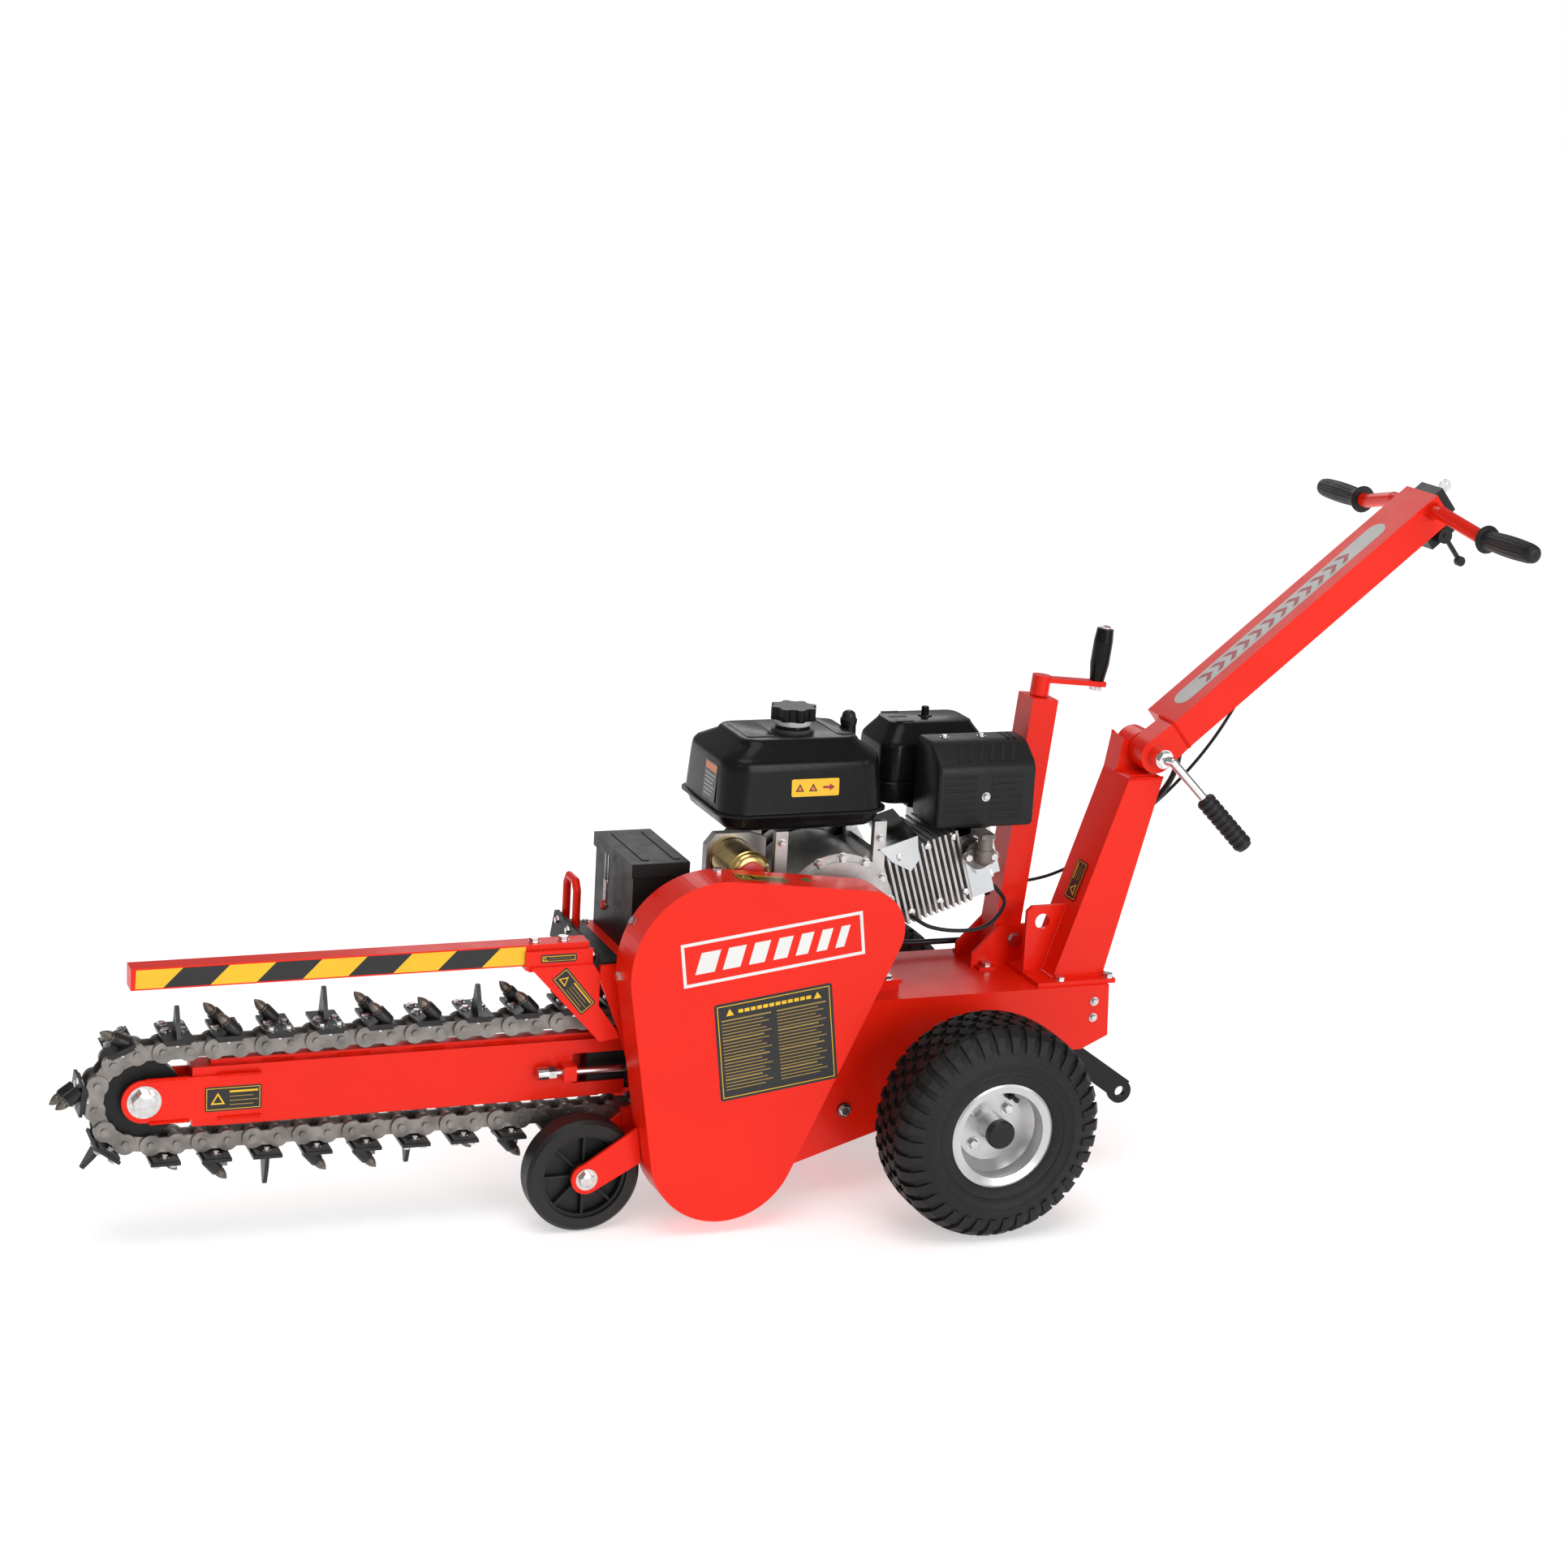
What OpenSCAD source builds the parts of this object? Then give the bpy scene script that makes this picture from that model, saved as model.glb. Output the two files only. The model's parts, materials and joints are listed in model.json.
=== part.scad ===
// Walk-behind chain trencher with a petrol engine, a cranked axle jack and a tilting handle.
// +X points to the operator, -Y is the side with the drive guard, +Z is up.
// Sizes are in millimetres; the machine stands on its three wheels at z = 0.

/* [Wheels] */
// Outside diameter of the drive-side and far-side turf tyres
tyre_d = 381; // [360:1:400]
// Section width of a turf tyre
tyre_w = 152; // [140:1:160]
// Diameter over the flanges of the steel rim
rim_d = 184; // [178:1:190]
// Distance between the middle planes of the two turf tyres
track = 600; // [590:5:640]
// Diameter of the solid front wheel
front_d = 196; // [190:1:200]
// Width of the solid front wheel
front_w = 50; // [44:1:52]

/* [Chassis] */
// Width over the side plates
deck_w = 248; // [244:1:256]
// Height of the deck above the ground
deck_z = 360; // [355:1:370]
// Height of the raised battery platform
platform_z = 455; // [450:1:470]
// Thickness of the chassis plates
plate_t = 6; // [4:1:6]

/* [Digging chain] */
// Pitch of the digging chain
pitch = 41.275; // [41:0.025:41.5]
// Number of links in the chain, always even
links = 58; // [58:2:60]
// Teeth on the drive sprocket
drive_teeth = 13; // [13:1:13]
// Radius at which the pins run round the nose roller
nose_r = 78; // [74:1:80]
// Height of the boom's middle line
boom_z = 258; // [256:1:262]
// Depth of the boom tube
boom_h = 100; // [90:1:104]
// Width of the boom tube
boom_w = 48; // [40:1:48]

/* [Drive] */
// Engine shaft, along the length and above the ground
crank = [-215, 516];
// Countershaft between the belt and the final chain
counter = [-465, 461];
// Teeth on the final drive's small and large sprockets
final_teeth = [13, 45];

/* [Handle] */
// Slope of the handle beam above the horizontal
beam_tilt = 39.3; // [35:0.1:43]
// Length of the handle beam from its pivot
beam_l = 690; // [660:5:700]
// Distance between the outer ends of the grips
grip_span = 700; // [680:5:720]

/* [Hidden] */
$fn = 48;

red = "#d9261c";
black = "#1b1b1d";
steel = "#8d8f92";
cast = "#a9abad";
plated = "#c7c9cc";

axle_z = tyre_d / 2;
deck_y = deck_w / 2;
deck_back = 307;
deck_front = -305;
front_x = -643;
boom_y = -46;
digger_x = -444;
digger = [digger_x, boom_z];
run_gap = 0.05;
drive_r = drive_teeth * pitch / (2 * PI);
loop_l = links * pitch;
half_l = (loop_l - PI * (drive_r + nose_r)) / 2;
centres = half_l - pow(drive_r - nose_r, 2) / (2 * half_l);
nose_x = digger_x - centres;
nose = [nose_x, boom_z];
slope = asin((drive_r - nose_r) / centres);
straight = centres * cos(slope);
nose_arc = nose_r * (180 - 2 * slope) * PI / 180;
tooth_h = 78;
handle_y = boom_y;
knuckle = [379, 768];
jack_y = 50;
jack_base = [164, 368];
jack_lean = 5.5;
swing = [-190, 165];
front_axle = [-668, front_d / 2];
front_y = -135;
guard_y = [-222, -144];
guard_lobes = [[crank[0], crank[1], 74], [counter[0], counter[1], 158], [digger_x, 153, 131]];
guard_t = 3;
final_pitch = 15.875;
// The overall box runs from the foremost tooth to the back of the control box.
nose_reach = 63.5;
y_min = handle_y - grip_span / 2;
y_max = track / 2 + tyre_w / 2;
x_min = nose_x - nose_r - nose_reach;
x_max = knuckle[0] + beam_l * cos(beam_tilt) + 54;
shift = [-(x_min + x_max) / 2, -(y_min + y_max) / 2, 0];

// ---- helpers ----
module place() translate(shift) children();
module block(x, y, z) translate([x[0], y[0], z[0]]) cube([x[1] - x[0], y[1] - y[0], z[1] - z[0]]);
module xz(y) translate([0, y[1], 0]) rotate([90, 0, 0]) linear_extrude(y[1] - y[0]) children();
module ycyl(p, r, y) translate([p[0], y[0], p[1]]) rotate([-90, 0, 0]) cylinder(r = r, h = y[1] - y[0]);
module at_xz(p, a) translate([p[0], 0, p[1]]) rotate([0, -a, 0]) children();
module round_rect(w, h, r) {
    square([w - 2 * r, h], center = true);
    square([w, h - 2 * r], center = true);
    for (x = [-1, 1], y = [-1, 1]) translate([x * (w / 2 - r), y * (h / 2 - r)]) circle(r);
}
module round_box(x, y, z, r) {
    translate([(x[0] + x[1]) / 2, (y[0] + y[1]) / 2, z[0]]) linear_extrude(z[1] - z[0])
        round_rect(x[1] - x[0], y[1] - y[0], r);
}
module hex_bolt(r, head) {
    cylinder(r = 2.2 * r, h = 0.2 * r);
    translate([0, 0, 0.2 * r]) cylinder(r = 2 * r, h = head, $fn = 6);
}
module sprocket(teeth, p, roller, y, tip) {
    r = teeth * p / (2 * PI);
    xz(y) difference() {
        circle(r + tip, $fn = 96);
        for (i = [0:teeth - 1]) rotate(360 * i / teeth) translate([r, 0]) circle(d = roller + 1.6, $fn = 24);
    }
}
function unit(v) = v / norm(v);
function spline(p, t) = let(n = len(p), i = min(floor(t), n - 2), f = t - i, a = p[max(i - 1, 0)],
    b = p[i], c = p[i + 1], d = p[min(i + 2, n - 1)])
    0.5 * (2 * b + (c - a) * f + (2 * a - 5 * b + 4 * c - d) * f * f + (3 * b - a - 3 * c + d) * f * f * f);
module cable(route, d, rings, sides = 8) {
    pts = [for (i = [0:rings - 1]) spline(route, i * (len(route) - 1) / (rings - 1))];
    ring_points = [for (i = [0:rings - 1]) let(t = unit(pts[min(i + 1, rings - 1)] - pts[max(i - 1, 0)]),
        u = unit(cross(t, abs(t[1]) > 0.9 ? [1, 0, 0] : [0, 1, 0])), v = cross(t, u))
        for (k = [0:sides - 1]) pts[i] + d / 2 * (cos(360 * k / sides) * u + sin(360 * k / sides) * v)];
    walls = [for (i = [0:rings - 2], k = [0:sides - 1]) let(n = (k + 1) % sides)
        [i * sides + k, i * sides + n, (i + 1) * sides + n, (i + 1) * sides + k]];
    polyhedron(ring_points, concat(walls, [[for (k = [sides - 1:-1:0]) k],
        [for (k = [0:sides - 1]) (rings - 1) * sides + k]]));
}
// A point of the digging chain's path at distance s, as [x, z, heading].
function on_loop(s) = let(a = slope, s1 = s - straight, s2 = s1 - nose_arc, s3 = s2 - straight)
    s1 < 0 ? [digger_x - drive_r * sin(a) - s * cos(a), boom_z + drive_r * cos(a) - s * sin(a), 180 + a]
    : s2 < 0 ? let(f = 90 + a + s1 / nose_r * 180 / PI)
        [nose_x + nose_r * cos(f), boom_z + nose_r * sin(f), f + 90]
    : s3 < 0 ? [nose_x - nose_r * sin(a) + s2 * cos(a), boom_z - nose_r * cos(a) - s2 * sin(a), 360 - a]
    : let(f = 270 - a + s3 / drive_r * 180 / PI)
        [digger_x + drive_r * cos(f), boom_z + drive_r * sin(f), f + 90];
function pin(k) = on_loop((k % links) * pitch);

// ---- chassis ----
side_outline = [[front_x, platform_z], [-345, platform_z], [deck_front, deck_z], [deck_back, deck_z],
    [312, 265], [262, 242], [110, 242], [60, 266], [-60, 266], [-104, 126], [-228, 88], [-300, 66],
    [-380, 60], [-540, 120], [-600, 320], [front_x, 430]];
module main_frame() {
    color(red) place() difference() {
        union() {
            for (y = [-deck_y, deck_y - plate_t]) xz([y, y + plate_t]) polygon(side_outline);
            inner = [-deck_y + plate_t, deck_y - plate_t];
            block([deck_front, deck_back], inner, [deck_z - plate_t, deck_z]);
            block([front_x, -345], inner, [platform_z - plate_t, platform_z]);
            block([deck_back - plate_t, deck_back], inner, [290, deck_z - plate_t]);
            xz(inner) polygon([[-345, platform_z], [deck_front, deck_z], [deck_front, deck_z - plate_t],
                [deck_front - 8, deck_z - plate_t], [-355, platform_z - plate_t], [-345, platform_z - plate_t]]);
            xz(inner) polygon([[-228, 88], [-118, 121.7], [-118, 128], [-228, 94]]);
            for (y = [-78, 58]) block([-320, -80], [y, y + 20], [deck_z, deck_z + 16]);
            block([-325, -80], [-90, 90], [deck_z + 16, deck_z + 23]);
        }
        for (s = [-1, 1]) ycyl(swing, 12 + run_gap, [s * deck_y - 10, s * deck_y + 10]);
        for (s = [-1, 1]) ycyl(digger, 30, [s * deck_y - 10, s * deck_y + 10]);
        block([135, 190], [jack_y - 32, jack_y + 32], [deck_z - 20, deck_z + 10]);
        ycyl(crank, 141, [61.5, 100]);
    }
}
module handle_post() {
    y = [handle_y - 50, handle_y + 50];
    color(red) place() {
        block([170, 322], [handle_y - 72, handle_y + 59], [deck_z, deck_z + 8]);
        block([206, 322], [handle_y + 59, handle_y + 72], [deck_z, deck_z + 8]);
        difference() {
            xz(y) polygon([[208, deck_z + 8], [306, deck_z + 8], [394, 728], [327, 728]]);
            xz([y[0] + 5, y[1] - 5]) polygon([[214, deck_z + 12], [299, deck_z + 12], [387, 722], [333, 722]]);
        }
        difference() {
            union() {
                xz([handle_y + 2, y[1]]) polygon([[327, 728], [394, 728], [396, 740], [knuckle[0] - 42, 790]]);
                ycyl(knuckle, 33, [handle_y + 2, y[1]]);
                xz([y[0] + 6, handle_y + 2]) polygon([[327, 728], [394, 728], [384, 733], [335, 733]]);
            }
            ycyl(knuckle, 11 + run_gap, [y[0], y[1] + 5]);
        }
        difference() {
            xz([handle_y - 4, handle_y + 4]) polygon([[172, deck_z + 8], [209, deck_z + 8], [248, 489], [182, 489],
                [172, 480]]);
            ycyl([203, 460], 14, [handle_y - 10, handle_y + 10]);
        }
    }
}
module jack_bracket() {
    color(red) place() for (s = [-1, 1]) difference() {
        union() {
            y = jack_y + s * 33.5;
            xz([y - 3, y + 3]) polygon([[100, deck_z], [204, deck_z], [204, 436], [150, 436], [100, 386]]);
            foot = s > 0 ? [y + 3, y + 28] : [y - 22, y - 3];
            block([108, 140], foot, [deck_z, deck_z + 5]);
        }
        ycyl([182, 408], 6.5, [jack_y - 40, jack_y + 40]);
    }
}
module jack_column() {
    color(red) place() at_xz(jack_base, 90 - jack_lean) {
        difference() {
            translate([0, jack_y - 30, -25]) cube([482, 60, 50]);
            translate([-1, jack_y - 26, -21]) cube([476, 52, 42]);
            translate([470, jack_y, 0]) rotate([0, 90, 0]) cylinder(r = 9 + run_gap, h = 20);
        }
    }
}

// ---- drive guard ----
module guard_outline(grow) hull() for (l = guard_lobes) translate([l[0], l[1]]) circle(l[2] + grow, $fn = 96);
module belt_guard() {
    color(red) place() difference() {
        xz(guard_y) guard_outline(0);
        xz([guard_y[0] + guard_t, guard_y[1] + 1]) guard_outline(-guard_t);
    }
}
module guard_back_plate() {
    color(red) place() difference() {
        xz([guard_y[1] - guard_t, guard_y[1]]) guard_outline(-guard_t - 0.3);
        ycyl(crank, 34, [guard_y[1] - 10, guard_y[1] + 10]);
        ycyl(counter, 13, [guard_y[1] - 10, guard_y[1] + 10]);
        ycyl(digger, 30, [guard_y[1] - 10, guard_y[1] + 10]);
    }
}

// ---- hazard bar, flap and lifting loop ----
bar_y = [-110, -74];
bar_z = [458, 494];
module hazard_bar() {
    color(red) place() difference() {
        block([-1412, -660], bar_y, bar_z);
        block([-1409, -650], [bar_y[0] + 3, bar_y[1] - 3], [bar_z[0] + 3, bar_z[1] - 3]);
    }
}
module bar_bracket() {
    color(red) place() {
        block([-770, -655], [bar_y[0] - 8, bar_y[1] + 10], [bar_z[0] - 6, bar_z[0]]);
        block([-770, -655], [bar_y[0] - 8, bar_y[0] - 2], [bar_z[0], bar_z[0] + 26]);
        xz([-deck_y, -deck_y + 6]) polygon([[-764, bar_z[0]], [-655, bar_z[0]], [front_x - 0.5, 440],
            [front_x - 0.5, 385], [-609.5, 338], [-604.5, 326], [-640, 322]]);
    }
}
module rubber_flap() {
    y = [-deck_y + 7, deck_y];
    color(black) place() {
        xz(y) polygon([[front_x - 1, platform_z + 22], [front_x - 5, platform_z + 22],
            [front_x - 12, platform_z - 24], [front_x - 5, platform_z - 24]]);
        xz(y) polygon([[front_x + 40, platform_z], [front_x - 1, platform_z],
            [front_x - 1, platform_z + 22], [front_x + 3, platform_z + 22], [front_x + 3, platform_z + 4],
            [front_x + 40, platform_z + 4]]);
    }
}
module lift_loop() {
    x = front_x + 14;
    color(red) place() {
        for (y = [62, 118]) {
            translate([x, y, platform_z + 4]) cylinder(r = 7, h = 70);
            translate([x, y, platform_z + 74]) sphere(7);
            rod([x, y, platform_z + 74], [x, y < 90 ? 72 : 108, platform_z + 88], 7);
            translate([x, y < 90 ? 72 : 108, platform_z + 88]) sphere(7);
        }
        rod([x, 72, platform_z + 88], [x, 108, platform_z + 88], 7);
    }
}

// ---- battery ----
box_x = [-580, -486];
box_y = [-85, 115];
module battery_box() {
    color(black) place() {
        difference() {
            block(box_x, box_y, [platform_z, 590]);
            block([box_x[0] + 3, box_x[1] - 3], [box_y[0] + 3, box_y[1] - 3], [platform_z + 3, 600]);
        }
        for (y = [-30, 60]) translate([box_x[1] + 5, y, 586]) rotate([-90, 0, 0]) difference() {
            cylinder(r = 5, h = 22);
            translate([0, 0, -1]) cylinder(r = 2.5 + run_gap, h = 24);
        }
    }
}
module battery() {
    color("dimgray") place() {
        block([-572, -495], [-76, 105], [platform_z + 3, 570]);
        for (y = [-60, 88]) translate([-533, y, 570]) cylinder(r = 8, h = 10);
    }
}
module battery_lid() {
    color(black) place() {
        difference() {
            block([box_x[0] - 4, box_x[1] + 4], [box_y[0] - 4, box_y[1] + 4], [592, 616]);
            block([box_x[0] - 1, box_x[1] + 1], [box_y[0] - 1, box_y[1] + 1], [590, 613]);
        }
        for (y = [-30, 60]) translate([box_x[1] + 5, y - 4, 586]) rotate([-90, 0, 0]) cylinder(r = 2.5, h = 30);
        for (y = [-34.5, 55.5, -7.5, 82.5]) block([box_x[1] + 2.5, box_x[1] + 7.5], [y, y + 4], [584, 612]);
    }
}
module lid_latch() {
    x = box_x[0] - 4;
    color(plated) place() {
        translate([x - 8, 10, 514]) rotate([-90, 0, 0]) cylinder(r = 4, h = 20);
        block([x - 10, x - 6], [13, 27], [514, 560]);
        for (y = [11, 26]) block([x - 8, x - 5], [y, y + 2.5], [556, 604]);
    }
}

// ---- engine ----
cyl_tilt = 17;
module crankcase() {
    color(cast) place() difference() {
        union() {
            ycyl(crank, 104, [-100, 60]);
            block([-300, -95], [-70, 60], [deck_z + 23, 470]);
            ycyl(crank, 92, [-112, -100]);
            ycyl(crank, 34, [-126, -112]);
            at_xz(crank, cyl_tilt) translate([60, -75, -70]) cube([50, 130, 140]);
            for (x = [-330, -150], y = [-88, 36]) block([x, x + 22], [y, y + 14], [560, x < -200 ? 660 : 670]);
        }
        ycyl(crank, 12.7 + run_gap, [-130, 70]);
    }
}
module finned_barrel() {
    color(cast) place() at_xz(crank, cyl_tilt) {
        translate([110, -55, -48]) cube([142, 92, 96]);
        for (u = [114:11:248]) translate([u, -86, -74]) cube([4.5, 146, 134]);
    }
}
module cylinder_head() {
    color(plated) place() at_xz(crank, cyl_tilt) {
        translate([252, -84, -70]) cube([42, 144, 116]);
        translate([294, -62, -50]) cube([26, 100, 86]);
        translate([264, -96, -26]) cube([26, 12, 52]);
    }
}
module blower_housing() {
    color(black) place() {
        difference() {
            ycyl(crank, 140, [62, 158]);
            ycyl(crank, 134, [60, 152]);
            ycyl(crank, 60, [150, 160]);
        }
        difference() {
            ycyl(crank, 92, [158, 206]);
            ycyl(crank, 86, [157, 200]);
            for (i = [0:11]) translate([crank[0], 203, crank[1]]) rotate([0, i * 30, 0])
                translate([55, 0, 0]) cube([34, 12, 7], center = true);
        }
    }
}
module fuel_tank() {
    color(black) place() {
        difference() {
            hull() {
                round_box([-430, -130], [-100, 135], [686, 690], 40, $fn = 32);
                round_box([-424, -138], [-94, 128], [780, 784], 46, $fn = 32);
                round_box([-390, -160], [-70, 105], [812, 815], 40, $fn = 32);
                round_box([-400, -165], [-75, 105], [660, 663], 40, $fn = 32);
            }
            hull() {
                round_box([-425, -135], [-95, 130], [688, 690], 36, $fn = 32);
                round_box([-420, -143], [-89, 123], [778, 780], 42, $fn = 32);
                round_box([-386, -164], [-66, 101], [808, 810], 36, $fn = 32);
                round_box([-396, -169], [-71, 101], [666, 668], 36, $fn = 32);
            }
            translate([-262, 35, 800]) cylinder(r = 22, h = 30);
        }
        round_box([-436, -124], [-106, 141], [690, 694], 42);
        translate([-262, 35, 815]) difference() {
            cylinder(r = 27, h = 10);
            translate([0, 0, -1]) cylinder(r = 22, h = 12);
        }
        translate([-165, 20, 784]) cylinder(r = 13, h = 40);
    }
}
module fuel_cap() {
    color(black) place() translate([-262, 35, 0]) {
        translate([0, 0, 826]) linear_extrude(22) union() {
            circle(34);
            for (i = [0:7]) rotate(45 * i) translate([33, 0]) circle(8, $fn = 24);
        }
        translate([0, 0, 806]) cylinder(r = 21, h = 20);
    }
}
module muffler() {
    color(black) place() difference() {
        translate([-36, 0, 0]) rotate([90, 0, 90]) linear_extrude(184) difference() {
            polygon([[-90, 650], [16, 650], [16, 796], [-40, 796], [-90, 764]]);
            polygon([[-86, 654], [12, 654], [12, 792], [-39, 792], [-86, 761]]);
        }
        for (z = [668:12:742], x = [-24, 64]) block([x, x + 60], [-95, -85], [z, z + 4.5]);
    }
    color(black) place() for (x = [-36, 144]) block([x, x + 4], [-86, 12], [654, 762]);
    color(steel) place() block([-20, 130], [-70, 0], [668, 745]);
}
module exhaust_pipe() {
    elbow = [44, -122, 604];
    color(cast) place() {
        ycyl([elbow[0], elbow[2]], 24, [-104, -96]);
        rod([elbow[0], -104, elbow[2]], elbow, 13);
        translate(elbow) sphere(13);
        rod(elbow, elbow + [0, 0, 38], 13);
        block([elbow[0] - 13, elbow[0] + 13], [-135, -88], [642, 650]);
    }
}
module air_cleaner() {
    color(black) place() {
        hull() {
            round_box([-86, 120], [34, 176], [664, 668], 30, $fn = 32);
            round_box([-86, 120], [34, 176], [766, 770], 34, $fn = 32);
            round_box([-66, 100], [54, 156], [804, 806], 30, $fn = 32);
        }
        translate([17, 105, 806]) cylinder(r = 6, h = 18);
        round_box([-20, 60], [60, 140], [648, 664], 14);
    }
}
module carburettor() {
    color(cast) place() {
        block([0, 44], [80, 120], [600, 648]);
        ycyl([22, 616], 16, [66, 80]);
        translate([22, 100, 578]) cylinder(r = 20, h = 22);
    }
}
module choke_lever() {
    color(black) place() {
        ycyl([34, 634], 4, [120.3, 132]);
        xz([126, 130]) polygon([[30, 634], [38, 634], [48, 590], [42, 588]]);
    }
}
module starter_motor() {
    color("#b58b3b") place() {
        ycyl([-384, 598], 38, [-112, -14]);
        ycyl([-384, 598], 30, [-122, -112]);
    }
    color(red) place() ycyl([-384, 598], 22, [-127, -122]);
    color(plated) place() ycyl([-402, 546], 19, [-92, -24]);
    color(cast) place() block([-420, -318.5], [-14, 6], [528, 630]);
}

// ---- drive train ----
module engine_shaft() {
    color(steel) place() {
        ycyl(crank, 12.7, [-214, 140]);
        difference() {
            ycyl(crank, 40, [-207, -187]);
            rotate_about(crank, -197) rotate_extrude() polygon([[35, 0], [41, -6], [41, 6]]);
        }
        ycyl(crank, 32, [-187, -154]);
        ycyl(crank, 118, [76, 96]);
        for (i = [0:15]) translate([crank[0], 110, crank[1]]) rotate([0, i * 22.5, 0])
            translate([95, 0, 0]) cube([30, 28, 4], center = true);
    }
}
module rotate_about(p, y) translate([p[0], y, p[1]]) rotate([90, 0, 0]) children();
module countershaft() {
    color(steel) place() {
        ycyl(counter, 12, [-212, -146.5]);
        difference() {
            ycyl(counter, 120, [-207, -187]);
            rotate_about(counter, -197) rotate_extrude() polygon([[114, 0], [121, -6], [121, 6]]);
            for (i = [0:4]) translate([counter[0], 0, counter[1]]) rotate([0, i * 72, 0])
                ycyl([72, 0], 24, [-210, -180]);
        }
        translate([counter[0], 0, counter[1]]) sprocket(final_teeth[0], final_pitch, 10.16, [-183, -175], 3);
        ycyl(counter, 20, [-187, -172]);
    }
}
module shaft_bearings() {
    color(cast) place() {
        difference() {
            union() {
                ycyl(counter, 34, [-168, -147]);
                for (s = [-1, 1]) ycyl([counter[0] + 42 * s, counter[1]], 12, [-155, -147]);
                block([counter[0] - 42, counter[0] + 42], [-155, -147], [counter[1] - 12, counter[1] + 12]);
            }
            ycyl(counter, 12 + run_gap, [-170, -140]);
        }
        for (y = [[-142, -deck_y], [deck_y, deck_y + 18]]) difference() {
            ycyl(digger, 46, y);
            ycyl(digger, 20 + run_gap, [y[0] - 2, y[1] + 2]);
        }
    }
}
module belt_loop(a, b, ra, rb) hull() {
    translate(a) circle(ra, $fn = 96);
    translate(b) circle(rb, $fn = 96);
}
module drive_belt() {
    color(black) place() xz([-201, -193]) difference() {
        belt_loop(crank, counter, 46, 126);
        belt_loop(crank, counter, 40.4, 120.4);
    }
}
module final_chain() {
    tip = [for (n = final_teeth) n * final_pitch / (2 * PI) + 3];
    color(steel) place() xz([-184.5, -173.5]) difference() {
        belt_loop(counter, digger, tip[0] + 4, tip[1] + 4);
        belt_loop(counter, digger, tip[0] + 0.6, tip[1] + 0.6);
    }
}
module digger_shaft() {
    color(steel) place() {
        ycyl(digger, 20, [-196, deck_y + 22]);
        ycyl(digger, 30, [boom_y - 24, boom_y + 24]);
    }
}
module drive_sprocket() {
    color(steel) place() translate([digger_x, 0, boom_z]) rotate([0, -(90 + slope), 0]) difference() {
        sprocket(drive_teeth, pitch, 24, [boom_y - 11, boom_y + 11], 2.5);
        ycyl([0, 0], 30, [boom_y - 20, boom_y + 20]);
    }
}
module driven_sprocket() {
    color(steel) place() translate([digger_x, 0, boom_z]) difference() {
        union() {
            sprocket(final_teeth[1], final_pitch, 10.16, [-183, -175], 3);
            ycyl([0, 0], 34, [-190, -172]);
        }
        ycyl([0, 0], 20, [-200, -160]);
        for (i = [0:4]) rotate([0, i * 72, 0]) ycyl([70, 0], 20, [-190, -170]);
    }
}

// ---- boom and digging chain ----
slot_x = [-690, -600];
boom_end = -575;
boom_side = boom_w / 2;
module boom() {
    y = [boom_y - boom_side, boom_y + boom_side];
    z = [boom_z - boom_h / 2, boom_z + boom_h / 2];
    color(red) place() {
        difference() {
            block([nose_x + 78, boom_end], y, z);
            block([nose_x + 84, boom_end + 1], [y[0] + 5, y[1] - 5], [z[0] + 5, z[1] - 5]);
            block([slot_x[0] + 22, boom_end + 1], [y[0] - 1, y[0] + 6], [boom_z - 26, boom_z + 26]);
        }
        for (s = [-1, 1]) difference() {
            union() {
                yy = s < 0 ? [y[0] - 6, y[0]] : [y[1], y[1] + 6];
                block([nose_x, nose_x + 190], yy, [boom_z - 36, boom_z + 36]);
                ycyl(nose, 36, yy);
            }
            ycyl(nose, 12, [y[0] - 10, y[1] + 10]);
        }
        block([nose_x + 110, boom_end - 40], [boom_y - 12, boom_y + 12], [z[1], z[1] + 8]);
        block([nose_x + 110, boom_end - 40], [boom_y - 12, boom_y + 12], [z[0] - 6, z[0]]);
        difference() {
            block([slot_x[0], slot_x[0] + 22], [y[0] - 28, y[0]], [boom_z - 13, boom_z + 13]);
            translate([slot_x[0] - 1, y[0] - 14, boom_z]) rotate([0, 90, 0]) cylinder(r = 6 + run_gap, h = 30);
        }
    }
    color(plated) place() {
        ycyl(nose, 12, [y[0] - 6, y[1] + 6]);
        translate([nose_x, y[0] - 6, boom_z]) rotate([90, 0, 0]) cylinder(r = 19, h = 12, $fn = 6);
        translate([nose_x, y[1] + 6, boom_z]) rotate([-90, 0, 0]) cylinder(r = 19, h = 12, $fn = 6);
    }
}
module boom_support() {
    color(black) place() {
        block([-640, -556], [boom_y - 18, boom_y + 18], [boom_z - 44, boom_z + 44]);
        for (y = [-deck_y + plate_t, 100]) block([-574, -556], [y, y + 18], [boom_z - 44, boom_z + 44]);
        block([-574, -556], [-deck_y + plate_t, boom_y - 18], [boom_z - 30, boom_z + 30]);
        block([-574, -556], [boom_y + 18, deck_y - plate_t], [boom_z - 30, boom_z + 30]);
    }
}
module tension_bolt() {
    y = boom_y - boom_side - 14;
    color(plated) place() {
        translate([-733, y, boom_z]) rotate([0, 90, 0]) cylinder(r = 11, h = 18);
        translate([-715, y, boom_z]) rotate([0, 90, 0]) cylinder(r = 6, h = 141 - run_gap);
        translate([-715, y, boom_z]) rotate([0, 90, 0]) cylinder(r = 11.5, h = 13, $fn = 6);
    }
}
module nose_roller() {
    color(black) place() difference() {
        union() {
            ycyl(nose, nose_r - 12.3, [boom_y - 11, boom_y + 11]);
            ycyl(nose, 26, [boom_y - 23.5, boom_y + 23.5]);
        }
        ycyl(nose, 12 + run_gap, [boom_y - 30, boom_y + 30]);
    }
}
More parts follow.
